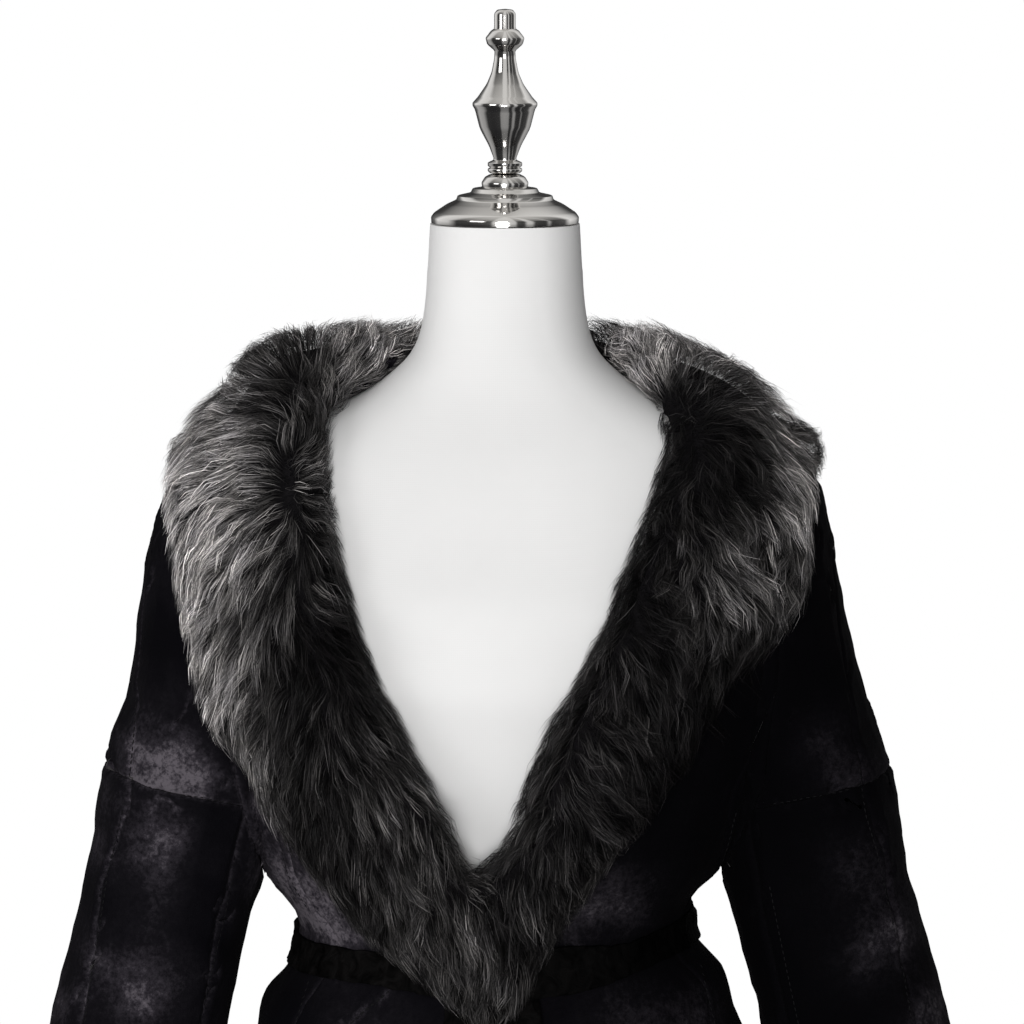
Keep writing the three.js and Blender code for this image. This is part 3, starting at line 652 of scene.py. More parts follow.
def sheepskin_panel(node):
    group = "_".join(node.split("_")[:2]) if node.startswith("sleeve") else "body"
    on_sleeve = group != "body"
    work = opened(node)
    cut_down(work, PANEL_EDGE)

    def faces_out(face):
        middle = np.array([face.calc_center_median()])
        return float(from_the_body(middle, on_sleeve)[0] @ np.array(face.normal)) > 0

    def outer_rim():
        work.normal_update()
        sharp = [e for e in work.edges if e.calc_face_angle(0) > RIM_ANGLE]
        return [e for e in sharp if any(map(faces_out, e.link_faces))]

    rim = outer_rim()
    for _ in range(2):
        near_rim = search_tree([middle_of(e) for e in rim])
        wide = [
            e
            for e in work.edges
            if e.calc_length() > RIM_EDGE
            and near_rim.find(middle_of(e))[2] < RIM_REACH
            and all(map(faces_out, e.link_faces))
        ]
        wide += [e for e in rim if e.calc_length() > RIM_EDGE]
        cut_finer(work, list(dict.fromkeys(wide)))
        rim = outer_rim()
    near_rim = search_tree([v.co for e in rim for v in e.verts])
    points = np.array([v.co for v in work.verts])
    flat = points * 1000
    from_rim = np.array([near_rim.find(v.co)[2] for v in work.verts]) * 1000
    worn, out = lay_on_skin(points, on_sleeve)
    ways = np.array([v.normal for v in work.verts])
    work.faces.index_update()
    wool_side = inner_walls(work, on_sleeve)
    inside = np.array([all(wool_side[f.index] for f in v.link_faces) for v in work.verts])
    wall = np.where(inside, -1, 1)
    apart = (ways * out).sum(axis=1) * wall < -0.5
    out[apart] = ways[apart] * wall[apart, None]
    outside = ((ways * out).sum(axis=1) > -0.2) & ~inside
    turned_in = -1.5 * bell(from_rim, 1.4) + 0.9 * bell(from_rim - 4.6, 2.4)
    lift = creased(points, group) + np.where(outside, turned_in, 0) / 1000
    rubbed_with_painted_shade = RUBBED * bell(from_rim, 1.9) * outside
    for where, line in LAPS:
        if where == group:
            far, along = away_from(line, flat)
            step = bell(far, 2.2) * np.where(outside & (points[:, 1] < 0), LAP_STEP, 0)
            lift += step * np.sin(math.pi * np.clip(along, 0.04, 0.96)) ** 0.4 / 1000
            rubbed_with_painted_shade += RUBBED * bell(far, 1.6) * (points[:, 1] < 0)
    # The pale worn edges are lessened towards the wearer's left: painted shade for that side.
    rubbed_with_painted_shade *= 1 - 0.75 * smooth_step(points[:, 0] / 0.12)
    for vert, co in zip(work.verts, worn + out * lift[:, None]):
        vert.co = co
    for face in work.faces:
        face.smooth = True
    work.normal_update()
    for edge in work.edges:
        edge.smooth = edge.calc_face_angle(0) < CREST_ANGLE
    piece = closed(work, f"cut_{node}")
    mesh = piece.data
    mesh.materials.append(suede.owner)
    mesh.materials.append(clipped_wool.owner)
    mesh.polygons.foreach_set("material_index", wool_side.astype(np.int32))
    for name, values in (("nap_with_painted_shade", nap_with_painted_shade_at(points, node)), ("rubbed_with_painted_shade", rubbed_with_painted_shade)):
        mesh.attributes.new(name, "FLOAT", "POINT").data.foreach_set("value", values)
    return piece


def painted_shade_on_wearers_left(look, colour, left_share=0.5):
    """The colour, blacker on the wearer's left half: painted shade for the side that the light reaches
    less.
    """
    across = look.add("SeparateXYZ", {"Vector": look.place}).outputs["X"]
    share = look.spread(across, -0.02, 0.09, 1.0, left_share)
    return look.mix(1.0, colour, share, blend_type="MULTIPLY")


suede = new_finish("black_suede")
# Both attributes hold real brushing and wear, lessened on the wearer's left as painted shade.
napped_with_painted_shade, rubbed_with_painted_shade = (
    suede.add("Attribute", {}, attribute_name=name).outputs["Fac"] for name in ("nap_with_painted_shade", "rubbed_with_painted_shade")
)
brushing = suede.noise(260.0, 7.0, Roughness=0.75)
patchy = suede.spread(brushing, 0.3, 0.7)
mottled = suede.spread(suede.noise(48.0, 7.0, Roughness=0.68), 0.34, 0.66, 0.5, 1.15)
brushed_up = suede.math("MULTIPLY", napped_with_painted_shade, mottled)
raised = suede.math("MULTIPLY", suede.math("ADD", patchy, 0.3), brushed_up)
pale = suede.math("ADD", suede.math("MULTIPLY", rubbed_with_painted_shade, patchy), raised, use_clamp=True)
suede_colour = suede.ramp(
    pale,
    (0.0, (0.0024, 0.0022, 0.0031)),
    (0.22, (0.0062, 0.0056, 0.0072)),
    (0.55, (0.024, 0.0212, 0.0262)),
    (1.0, (0.092, 0.082, 0.094)),
)
fuzz = suede.bump(suede.math("ADD", suede.noise(900.0, 3.0), brushing), 0.5, 0.0007)
# The suede's colour is made blacker on the wearer's left half as painted shade.
suede.shade(
    Base_Color=painted_shade_on_wearers_left(suede, suede_colour),
    Normal=suede.bump(suede.noise(42.0, 5.0, Distortion=0.6), 0.35, 0.004, fuzz),
    Roughness=0.9,
    Sheen_Weight=0.006,
    Sheen_Roughness=0.4,
    Sheen_Tint=(0.6, 0.56, 0.62, 1),
    Specular_IOR_Level=0.015,
)

clipped_wool = new_finish("clipped_wool")
curls = clipped_wool.add("TexVoronoi", {"Vector": clipped_wool.place, "Scale": 260.0}).outputs["Distance"]
crimp = clipped_wool.noise(620.0, 4.0, Distortion=1.5)
clipped_wool.shade(
    Base_Color=clipped_wool.ramp(crimp, (0.0, (0.006, 0.0055, 0.006)), (1.0, (0.04, 0.036, 0.037))),
    Normal=clipped_wool.bump(clipped_wool.math("MULTIPLY", curls, crimp), 0.9, 0.002),
    Roughness=0.95,
    Sheen_Weight=0.08,
    Sheen_Roughness=0.5,
)

panels = {}
for node, (flat, area) in SUEDE_PANELS.items():
    panel = sheepskin_panel(node)
    stand_for(panel, node, slot="suede")
    panels[node] = panel


# The seams' topstitching: waxed black thread in long stitches beside each seam on the front, and
# two rows along each lap. One stitch is modelled, and its copies are laid along the seams.
SEAM_ROWS = [
    [(-268, 1174), (-250, 1170), (-232, 1166), (-210, 1163), (-190, 1158)],
    [(264, 1173), (248, 1170), (232, 1166), (210, 1163), (186, 1158)],
    [(-256, 1240), (-258, 1200), (-261, 1172)],
    [(-266, 1150), (-276, 1108), (-282, 1070), (-290, 1020), (-300, 940), (-314, 860)],
    [(-189, 1104), (-197, 1068), (-206, 1030), (-213, 1000), (-226, 920), (-240, 850)],
    [(246, 1180), (250, 1150), (258, 1124), (268, 1080), (278, 1034), (290, 960), (306, 870)],
    [(184, 1098), (196, 1040), (208, 985), (236, 850)],
    [(-160, 1150), (-151, 1108), (-138, 1084)],
    [(-137, 1031), (-146, 1003), (-160, 900), (-172, 760), (-190, 480)],
    [(160, 1150), (151, 1108), (138, 1090)],
    [(137, 1040), (146, 1003), (160, 900), (172, 760), (190, 480)],
    [(-81, 1032), (-97, 1019), (-114, 1003), (-128, 983)],
    [(-84, 1029), (-100, 1016), (-117, 1000), (-131, 980)],
    [(29, 1077), (56, 1056)],
    [(31, 1073), (58, 1052)],
]
STITCH_PITCH = 4.6
bpy.ops.object.select_all(action="DESELECT")
bpy.ops.mesh.primitive_uv_sphere_add(segments=6, ring_count=4, radius=0.0005)
one_stitch = bpy.context.object
bpy.ops.object.mode_set(mode="EDIT")
bpy.ops.transform.resize(value=(1, 0.7, 3.4))
bpy.ops.object.mode_set(mode="OBJECT")
stitch_points = points_of(one_stitch.data)
stitch_faces = [tuple(f.vertices) for f in one_stitch.data.polygons]
bpy.data.objects.remove(one_stitch)


def tree_of(pieces):
    points, faces = [], []
    for piece in pieces:
        start = len(points)
        points += [v.co.copy() for v in piece.data.vertices]
        faces += [[start + v for v in f.vertices] for f in piece.data.polygons]
    return BVHTree.FromPolygons(points, faces)


panel_tree = tree_of(panels.values())


def laid_along(line, pitch):
    """Spots along a line of x, z in mm, cast back onto the coat's front, with the line's way."""
    spots = []
    spare = 0.0
    for p, q in zip(line, line[1:]):
        span = math.dist(p, q)
        at = spare
        while at < span:
            x, z = (p[k] + (q[k] - p[k]) * at / span for k in range(2))
            hit = panel_tree.ray_cast(Vector((x / 1000, -0.5, z / 1000)), Vector((0, 1, 0)))
            if hit[0] is not None and hit[0].y < 0.02:
                spots.append((hit[0], hit[1], Vector((q[0] - p[0], 0, q[1] - p[1])).normalized()))
            at += pitch
        spare = at - span
    return spots


stitch_verts, stitch_quads = [], []
for line in SEAM_ROWS:
    for spot, way_out, along in laid_along(line, STITCH_PITCH):
        along = (along - way_out * along.dot(way_out)).normalized()
        turn = np.array([way_out.cross(along), way_out, along])
        start = len(stitch_verts)
        stitch_verts += (stitch_points @ turn + np.array(spot + way_out * 0.0001)).tolist()
        stitch_quads += [[start + v for v in f] for f in stitch_faces]
mesh = bpy.data.meshes.new("seam_stitches")
mesh.from_pydata(stitch_verts, [], stitch_quads)
mesh.shade_smooth()
thread = new_finish("waxed_thread")
twisted = thread.ramp(
    thread.noise(1400.0, 2.0), (0.0, (0.0015, 0.0015, 0.002)), (1.0, (0.0075, 0.007, 0.008))
)
thread.shade(Base_Color=twisted, Roughness=0.7, Specular_IOR_Level=0.08)
stand_for(placed(mesh), slot="suede", look=thread)


# The belt: a folded strip of thin black suede, gone soft and crumpled where it is pulled tight, tied
# in one flat knot under the collar's tips, with its two ends hanging. At the sides it is gathered
# by about a third of its height.
GATHERED = 0.3
GATHERED_DROP = 0.003

belt_suede = new_finish("belt_suede")
crumple = belt_suede.noise(95.0, 5.0, Distortion=0.9)
skin_grain = belt_suede.bump(belt_suede.noise(1100.0, 3.0), 0.25, 0.0004)
belt_colour = belt_suede.ramp(crumple, (0.35, (0.0006, 0.0005, 0.0005)), (0.72, (0.005, 0.0046, 0.0046)))
# The belt's colour is made blacker on the wearer's left half as painted shade.
belt_suede.shade(
    Base_Color=painted_shade_on_wearers_left(belt_suede, belt_colour, 0.25),
    Normal=belt_suede.bump(crumple, 0.7, 0.003, skin_grain),
    Roughness=0.7,
    Specular_IOR_Level=0.02,
)


def belt_piece(node, longest, depth, stretch):
    """A belt piece on its solid's form, with its edges eased and its folds running across it."""
    work = opened(node)
    cut_down(work, longest)
    points = np.array([v.co for v in work.verts])
    above = np.array([skin_tree.find_nearest(p)[3] for p in points.tolist()])
    if node == "belt":
        gathered = GATHERED * smooth_step((np.abs(points[:, 0]) - 0.045) / 0.05)
        points[:, 2] -= above_belt(points) * gathered + GATHERED_DROP * gathered / GATHERED
        on_skin = np.array([skin_tree.find_nearest(p)[0] for p in points.tolist()])
        points = on_skin + lay_on_skin(on_skin)[1] * above[:, None]
    worn, out = lay_on_skin(points)
    folds = [noise.ridged_multi_fractal(Vector(p) * Vector(stretch), 0.8, 2.1, 3, 0.9, 2.0) for p in points]
    lift = (np.array(folds) - 1.0) * depth * smooth_step((above - 0.0012) / 0.003)
    for vert, co in zip(work.verts, worn + out * lift[:, None]):
        vert.co = co
    for face in work.faces:
        face.smooth = True
    piece = closed(work, f"worn_{node}")
    soften(piece, 2, 0.35)
    stand_for(piece, node, slot="belt_leather", look=belt_suede)
    return piece


worn_belt = belt_piece("belt", 0.004, 0.0011, (70, 70, 26))
for node, flat in (("belt_end_right", (0.0285, 0.29)), ("belt_end_left", (0.0285, 0.335))):
    worn_end = belt_piece(node, 0.0045, 0.0008, (60, 60, 16))
worn_knot = belt_piece("belt_knot", 0.0032, 0.0022, (120, 40, 60))


# The collar's skin under its hair: the dark woolly undercoat of a long-haired sheep, which the long
# hair stands on. It is the collar's solid, drawn in all round by the depth of the top hair.
HAIR_DEPTH = 0.0135
UNDERCOAT_GRAIN = 0.0062
# Where the hair stands fuller or flatter than its solid, in mm: x, y, z, how far round it, and by
# how much along x, y and z.
FULLNESS = [
    (-160, -30, 1450, 38, 0, 0, 20), (-124, -20, 1462, 26, 0, 0, 11), (-172, -30, 1440, 22, 0, 0, 7),
    (-72, 40, 1488, 38, 0, 0, -11), (-222, -40, 1412, 30, 11, 0, -9), (214, -40, 1412, 40, -15, 0, -12),
    (150, -50, 1456, 30, 0, 0, 4), (78, 40, 1490, 38, 0, 0, -11), (-106, -8, 1436, 24, -11, 0, 2),
    (-119, -70, 1398, 20, 4, 0, 0), (-118, -115, 1322, 24, -3, 0, 0), (-104, -130, 1282, 24, -7, 0, 0),
    (-88, -140, 1250, 24, -8, 0, 0), (-66, -150, 1208, 24, -3, 0, 0), (-50, -155, 1165, 24, 9, 0, 0),
    (100, -8, 1434, 22, 10, 0, 0), (112, -60, 1410, 24, 3, 0, 0), (100, -100, 1370, 24, 8, 0, 0),
    (84, -115, 1330, 24, 8, 0, 0), (68, -130, 1290, 24, 9, 0, 0), (50, -145, 1250, 24, 9, 0, 0),
    (34, -150, 1214, 24, 2, 0, 0), (14, -165, 1150, 26, 10, 0, 0), (-84, -150, 1044, 30, 24, 0, 0),
    (-50, -150, 1006, 28, 28, 0, 0), (66, -150, 1092, 26, -7, 0, 4), (38, -150, 1046, 30, -16, 0, 0),
    (28, -150, 1008, 28, -18, 0, 0), (224, -60, 1338, 26, -13, 0, 0), (212, -75, 1262, 34, -13, 0, 3),
    (186, -100, 1222, 32, -12, 0, 6), (204, -30, 1424, 28, -7, 0, -9), (-194, -90, 1180, 24, 15, 0, 6),
    (-180, -68, 1152, 28, 27, 0, 8), (-156, -80, 1124, 26, 14, 0, 9), (-130, -96, 1096, 24, 10, 0, 9),
    (172, -112, 1242, 26, -17, 0, 4), (146, -120, 1204, 26, -15, 0, 7), (118, -126, 1164, 26, -13, 0, 8),
    (84, -128, 1126, 24, -13, 0, 9),
]


def way_of(mesh):
    return figures(mesh.vertex_normals, "vector")


undercoat = joined(["collar_right", "collar_left"], "undercoat")
undercoat.name = "collar_undercoat"
even_out(undercoat, UNDERCOAT_GRAIN)
soften(undercoat, 6)
points = points_of(undercoat.data)
for x, y, z, reach, *push in FULLNESS:
    near = np.exp(-((points * 1000 - np.array([x, y, z])) ** 2).sum(axis=1) / reach**2)
    points += near[:, None] * np.array(push) / 1000
undercoat.data.vertices.foreach_set("co", points.ravel())
undercoat.data.update()
outline_tree = tree_of([undercoat])
soften(undercoat, 4)
under_tree = tree_of([*panels.values(), covered_form, worn_belt, worn_knot])
points = points_of(undercoat.data)
height = np.array([under_tree.find_nearest(p)[3] for p in points.tolist()])
drawn_in = HAIR_DEPTH * smooth_step((height - 0.002) / 0.022)
points = points - way_of(undercoat.data) * drawn_in[:, None]
undercoat.data.vertices.foreach_set("co", points.ravel())
soften(undercoat, 6)
alone(undercoat)
bpy.ops.object.shade_smooth()

woolly = new_finish("dark_undercoat")
locks = woolly.noise(240.0, 5.0, Distortion=1.2)
woolly.shade(
    Base_Color=woolly.ramp(locks, (0.0, (0.0015, 0.0015, 0.002)), (1.0, (0.012, 0.011, 0.012))),
    Normal=woolly.bump(locks, 1.0, 0.004),
    Roughness=0.95,
    Specular_IOR_Level=0.02,
)
stand_for(undercoat, "collar_right", "collar_left", slot="fur", look=woolly)


# The collar's long hair: fine straight hair with dark roots and silver tips, in soft wavy locks, the
# roots painted blacker still as shade in the gaps between locks. The comb's strokes are given where
# they were made: x, y, z in mm, the way the hair lies, and how silver its tips are there. Each hair
# is a ribbon, pointed at both ends.
COMB = [
    (-118, 0, 1484, 0.05, 0.1, 1, 0.5), (-142, -8, 1478, -0.35, 0.1, 0.9, 0.36),
    (-164, -20, 1466, -0.6, 0.1, 0.7, 0.38), (-118, -40, 1462, 0.05, 0, 1, 0.22),
    (-128, -52, 1442, -0.3, 0, 0.6, 0.1), (-145, -50, 1456, -0.5, 0.1, 0.8, 0.04),
    (-176, -50, 1440, -0.8, 0.1, 0.5, 0.4), (-205, -55, 1418, -0.95, 0.1, 0, 0.78),
    (-222, -55, 1390, -0.85, 0, -0.4, 1.1), (-94, -2, 1478, 0.5, 0, 0.8, 0.75),
    (-74, 34, 1472, 0.6, 0, 0.5, 0.75), (-108, -28, 1449, 0.9, 0, -0.3, 0.95),
    (-162, -80, 1426, -0.9, 0, -0.1, 0.18), (-186, -76, 1411, -0.9, 0, -0.25, 0.66),
    (-213, -76, 1398, -0.85, 0, -0.4, 1), (-230, -53, 1374, -0.6, 0, -0.75, 1.1),
    (-168, -111, 1374, -0.85, 0, -0.45, 0.44), (-192, -100, 1359, -0.75, 0, -0.6, 0.7),
    (-220, -86, 1340, -0.55, 0, -0.8, 1.05), (-153, -135, 1335, -0.7, 0, -0.6, 0.24),
    (-181, -121, 1306, -0.6, 0, -0.75, 0.32), (-213, -96, 1289, -0.4, 0, -0.9, 0.68),
    (-189, -107, 1221, -0.35, 0, -0.95, 0.38), (-153, -144, 1240, -0.3, 0, -0.95, 0.08),
    (-205, -95, 1250, -0.35, 0, -0.92, 0.6), (-128, -85, 1405, 0.6, 0, 0.5, 0.14),
    (-128, -115, 1372, 0.7, 0, 0.2, 0.16), (-120, -125, 1330, 0.8, 0, -0.2, 0.1),
    (-139, -151, 1296, 0.6, 0, -0.4, 0), (-108, -162, 1283, 0.7, 0, -0.6, 0.05),
    (-119, -166, 1243, 0.4, 0, -0.85, 0.04), (-91, -170, 1243, 0.6, 0, -0.75, 0.2),
    (-140, -141, 1171, -0.1, 0, -1, 0.08), (-71, -173, 1175, 0.45, 0, -0.85, 0.17),
    (-106, -154, 1131, 0, 0, -1, 0.09), (-51, -164, 1119, 0.25, 0, -0.95, 0.2),
    (-44, -148, 1068, 0.12, 0, -1, 0.15), (-24, -150, 1048, 0.15, 0, -1, 0.15),
    (67, 45, 1478, -0.8, -0.3, 0.3, 0.1), (92, -18, 1455, -0.9, 0, -0.3, 1.25),
    (94, -5, 1478, -0.6, 0, 0.6, 1.2), (134, -20, 1470, 0.3, 0.2, 0.9, 0.45),
    (121, -38, 1462, 0.1, 0.1, 0.9, 0.05), (106, -8, 1482, 0, 0.1, 0.9, 0.7),
    (152, -40, 1462, 0.5, 0, 0.6, 0.45), (146, -66, 1444, 0.5, 0, 0.3, 0.02),
    (172, -44, 1450, 0.6, 0, 0.3, 0.5), (166, -72, 1428, 0.6, 0, -0.3, 0.06),
    (190, -48, 1438, 0.7, 0, -0.5, 0.66), (206, -56, 1410, 0.55, 0, -0.8, 0.66),
    (214, -59, 1382, 0.45, 0, -0.9, 0.5), (149, -105, 1405, 0.4, 0, -0.9, 0.05),
    (110, -60, 1406, -0.3, 0, -0.85, 0.12), (102, -102, 1380, -0.5, 0, -0.85, 0.05),
    (86, -94, 1343, -0.5, 0, -0.85, 0.06), (119, -137, 1362, 0, 0, -1, 0.05),
    (148, -139, 1331, 0.45, 0, -0.8, 0.34), (179, -110, 1336, 0.1, 0, -1, 0.3),
    (199, -98, 1309, 0.3, 0, -0.95, 0.18), (190, -105, 1262, 0.3, 0, -0.95, 0),
    (160, -138, 1238, 0.3, 0, -0.95, 0), (126, -160, 1212, 0.25, 0, -0.95, 0),
    (73, -163, 1309, -0.35, 0, -0.93, 0.05), (57, -146, 1274, -0.4, 0, -0.9, 0.15),
    (105, -161, 1311, 0.1, 0, -1, 0.06), (133, -157, 1276, 0.3, 0, -0.95, 0.06),
    (161, -133, 1280, 0.4, 0, -0.9, 0.1), (37, -180, 1231, 0, 0, -1, 0.13),
    (64, -180, 1245, 0.1, 0, -1, 0.05), (92, -177, 1231, 0.3, 0, -0.95, 0.04),
    (24, -178, 1176, 0.2, 0, -0.97, 0.15), (51, -180, 1183, 0.35, 0, -0.93, 0.05),
    (16, -172, 1129, 0.15, 0, -1, 0.1), (-3, -168, 1119, 0.1, 0, -1, 0.12), (3, -151, 1042, 0, 0, -1, 0.12),
    (-215, 20, 1400, -0.8, 0.2, -0.5, 0.45), (-190, 90, 1390, -0.6, 0.4, -0.6, 0.35),
    (-150, 130, 1370, -0.35, 0.3, -0.85, 0.25), (-80, 150, 1360, -0.15, 0.2, -0.95, 0.2),
    (0, 160, 1360, 0, 0.15, -1, 0.2), (80, 150, 1360, 0.15, 0.2, -0.95, 0.18),
    (150, 130, 1370, 0.35, 0.3, -0.85, 0.15), (190, 90, 1385, 0.6, 0.4, -0.6, 0.2),
    (210, 20, 1400, 0.8, 0.2, -0.5, 0.3), (-60, 95, 1478, -0.2, 0.9, 0.1, 0.15),
    (0, 105, 1485, 0, 0.95, 0.1, 0.12), (60, 95, 1478, 0.2, 0.9, 0.1, 0.1),
    (-90, 40, 1482, -0.3, 0.6, 0.5, 0.12), (90, 40, 1482, 0.3, 0.6, 0.5, 0.08),
    (0, 70, 1480, 0, -0.5, 0.8, 0.08),
]
HAIRS = 122000
SPARE_HAIRS = 2.1
LOCKS = 9000
HAIR_LENGTH = 0.029
HAIR_WIDTH = 0.00034
HAIR_STEPS = np.array([0.0, 0.38, 0.72, 1.0])
HAIR_TAPER = np.array([1.0, 0.7])
COMB_REACH = 0.019
STRAY_SHARE = 0.05
chance = np.random.default_rng(7)

coat_faces = triangles_of(undercoat.data)
points = points_of(undercoat.data)
ways = way_of(undercoat.data)
a, b, c = (points[coat_faces[:, k]] for k in range(3))
sizes = np.linalg.norm(np.cross(b - a, c - a), axis=1)
face_middle = (a + b + c) / 3
sizes *= np.where(face_middle[:, 1] < 0.03, 1.3, 0.8)
sizes *= np.where((np.abs(face_middle[:, 0]) < 0.1) & (face_middle[:, 2] > 1.45), 1.8, 1)
picked = chance.choice(len(coat_faces), size=int(HAIRS * SPARE_HAIRS), p=sizes / sizes.sum())
u, v = chance.random((2, len(picked)))
u, v = np.where(u + v > 1, 1 - u, u)[:, None], np.where(u + v > 1, 1 - v, v)[:, None]
face = coat_faces[picked]
roots, root_ways = (
    rows[face[:, 0]] * (1 - u - v) + rows[face[:, 1]] * u + rows[face[:, 2]] * v for rows in (points, ways)
)
root_ways = unit(root_ways)
open_air = [
    under_tree.ray_cast(Vector(p) + Vector(n) * 0.0005, Vector(n), 0.004)[0] is None
    for p, n in zip(roots.tolist(), root_ways.tolist())
]
kept = np.flatnonzero(open_air)[:HAIRS]
roots, root_ways = roots[kept], root_ways[kept]
comb_spots, comb_ways, comb_silver = (
    np.array([row[part] for row in COMB]) for part in (slice(3), slice(3, 6), 6)
)
comb_spots = comb_spots / 1000


def flattened(lie, ways):
    """The ways the hair lies, laid flat along the skin and made one long, and how far they were up."""
    up = (lie * ways).sum(axis=1)
    return unit(lie - ways * up[:, None]), up


def combed(spots, ways):
    """The way the hair lies along the skin, how far it is brushed up off it, and its silver."""
    far = ((spots[:, None, :] - comb_spots[None]) ** 2).sum(axis=2)
    share = np.exp(-(far - far.min(axis=1, keepdims=True)) / (2 * COMB_REACH**2))
    share /= share.sum(axis=1, keepdims=True)
    lie, up = flattened(unit(share @ comb_ways), ways)
    return lie, np.clip(up, 0, 1), share @ comb_silver


def turned_about(vectors, axes, angle):
    """Each vector turned about its own axis."""
    angle = angle[:, None]
    along = (vectors * axes).sum(axis=1, keepdims=True)
    turned = vectors * np.cos(angle) + np.cross(axes, vectors) * np.sin(angle)
    return turned + axes * along * (1 - np.cos(angle))


lock_pick = chance.choice(len(roots), size=LOCKS, replace=False)
lock_roots, lock_ways = roots[lock_pick], root_ways[lock_pick]
lock_lie, lock_up, lock_silver = combed(lock_roots, lock_ways)
swirl = np.array([noise.noise(Vector(p) * 26) + 0.5 * noise.noise(Vector(p) * 70) for p in lock_roots])
curly = smooth_step(lock_roots[:, 0] / 0.05)
lock_lie = turned_about(lock_lie, lock_ways, swirl * (0.9 + 0.7 * curly) + chance.normal(0, 0.2, LOCKS))
streak = np.array([noise.noise(Vector(p) * 55 + Vector((3, 7, 1))) for p in lock_roots])
lock_length = HAIR_LENGTH * (1 + 0.22 * swirl + chance.normal(0, 0.1, LOCKS))
lock_silver = lock_silver * (1.45 + 1.1 * streak + chance.normal(0, 0.26, LOCKS))
lock_silver = np.clip(lock_silver + chance.normal(0, 0.04, LOCKS), 0, 1.3)
lock_lift = 0.38 + 0.35 * lock_up + 0.16 * streak + chance.normal(0, 0.09, LOCKS)
lock_lift = np.clip(lock_lift, 0.12, 0.85)
lock_phase = chance.random(LOCKS) * 2 * math.pi
lock_wave = (0.001 + 0.0016 * chance.random(LOCKS)) * (1 + 0.9 * curly)
lock_tree = search_tree(lock_roots)
lock_of = np.array([lock_tree.find(p)[1] for p in roots.tolist()])


def hair_line(start, way, lie, length, lift, phase, wave):
    """The middle line of each hair: up from the skin, over, and along the way it is combed."""
    side = np.cross(way, lie)
    lines = []
    for t in HAIR_STEPS:
        rise = length * lift * (2.2 * t - 1.3 * t * t)
        reach = length * (0.45 * t + 0.5 * t * t)
        sway = wave * t * np.sin(phase + 7.5 * t)
        at = start + way * rise[:, None] + lie * reach[:, None] + side * sway[:, None]
        at[:, 2] -= 0.1 * length * t * t
        lines.append(at)
    return np.stack(lines, axis=1)


count = len(roots)
stray = chance.random(count) < STRAY_SHARE
own_lie, _, _ = combed(roots, root_ways)
lie = lock_lie[lock_of] * 0.8 + own_lie * 0.2 + chance.normal(0, 0.1, (count, 3))
lie, _ = flattened(lie, root_ways)
length = lock_length[lock_of] * (0.72 + 0.4 * chance.random(count))
lift = lock_lift[lock_of] * (0.75 + 0.5 * chance.random(count)) + stray * 0.12
phase = lock_phase[lock_of] + chance.normal(0, 0.35, count)
hairs = hair_line(roots, root_ways, lie, length, lift, phase, lock_wave[lock_of])
lock_lines = hair_line(lock_roots, lock_ways, lock_lie, lock_length, lock_lift, lock_phase, lock_wave)
gather = np.where(stray, 0.0, 0.35 + 0.4 * chance.random(count))[:, None] * HAIR_STEPS[None] ** 1.3
hairs += (lock_lines[lock_of] - hairs) * gather[:, :, None]
wisp = chance.random(count)[:, None] ** 2
for k in range(1, len(HAIR_STEPS)):
    near = [outline_tree.find_nearest(p) for p in hairs[:, k].tolist()]
    foot, way = (np.array([n[j] for n in near]) for j in range(2))
    off = hairs[:, k] - foot
    beyond = (off * way).sum(axis=1, keepdims=True) > 0
    most = 0.0008 + HAIR_STEPS[k] * (0.0012 + 0.007 * wisp)
    pulled = foot + off * np.minimum(1, most / np.maximum(lengths(off), 1e-6))
    hairs[:, k] = np.where(beyond, pulled, hairs[:, k])

along = unit(np.gradient(hairs, axis=1), 2)
roll = chance.normal(0, 0.7, count)[:, None, None]
across = unit(np.cross(along, np.repeat(root_ways[:, None, :], len(HAIR_STEPS), axis=1)), 2)
across = across * np.cos(roll) + np.cross(along, across) * np.sin(roll)
width = HAIR_WIDTH * (0.7 + 0.6 * chance.random(count))
half = across[:, 1:3] * (width[:, None, None] * HAIR_TAPER[None, :, None] / 2)
between = np.stack([hairs[:, 1:3] - half, hairs[:, 1:3] + half], axis=2).reshape(count, 4, 3)
ribbon = np.concatenate([hairs[:, :1], between, hairs[:, 3:]], axis=1)

ROOT_BLACK_AND_GAP_SHADE = np.array([0.0005, 0.0005, 0.0006])
MID_BLACK, MID_SILVER = np.array([0.002, 0.0018, 0.002]), np.array([0.5, 0.485, 0.48])
TIP_BLACK, TIP_SILVER = np.array([0.0112, 0.0098, 0.0108]), np.array([1.0, 0.98, 0.965])
silver = np.clip(lock_silver[lock_of] ** 1.7 * (0.75 + 0.5 * chance.random(count)), 0, 1)[:, None]
lock_shade = (0.25 + 1.3 * chance.random(LOCKS))[lock_of]
shade = ((0.22 + 2.3 * chance.random(count) ** 3.4) * lock_shade)[:, None]
middle = (MID_BLACK * (1 - silver) + MID_SILVER * silver) * shade
tip = (TIP_BLACK * (1 - silver) + TIP_SILVER * silver) * shade
hair_colour = np.ones((count, 6, 4))
# The roots' black is the hair's own dark root and also painted shade between the locks; it fades to the
# middle colour by half way, then to the tip.
for k, t in enumerate(np.repeat(HAIR_STEPS, (1, 2, 2, 1)).tolist()):
    low, high = min(1, t / 0.5), max(0, (t - 0.5) / 0.5)
    hair_colour[:, k, :3] = (ROOT_BLACK_AND_GAP_SHADE * (1 - low) + middle * low) * (1 - high) + tip * high

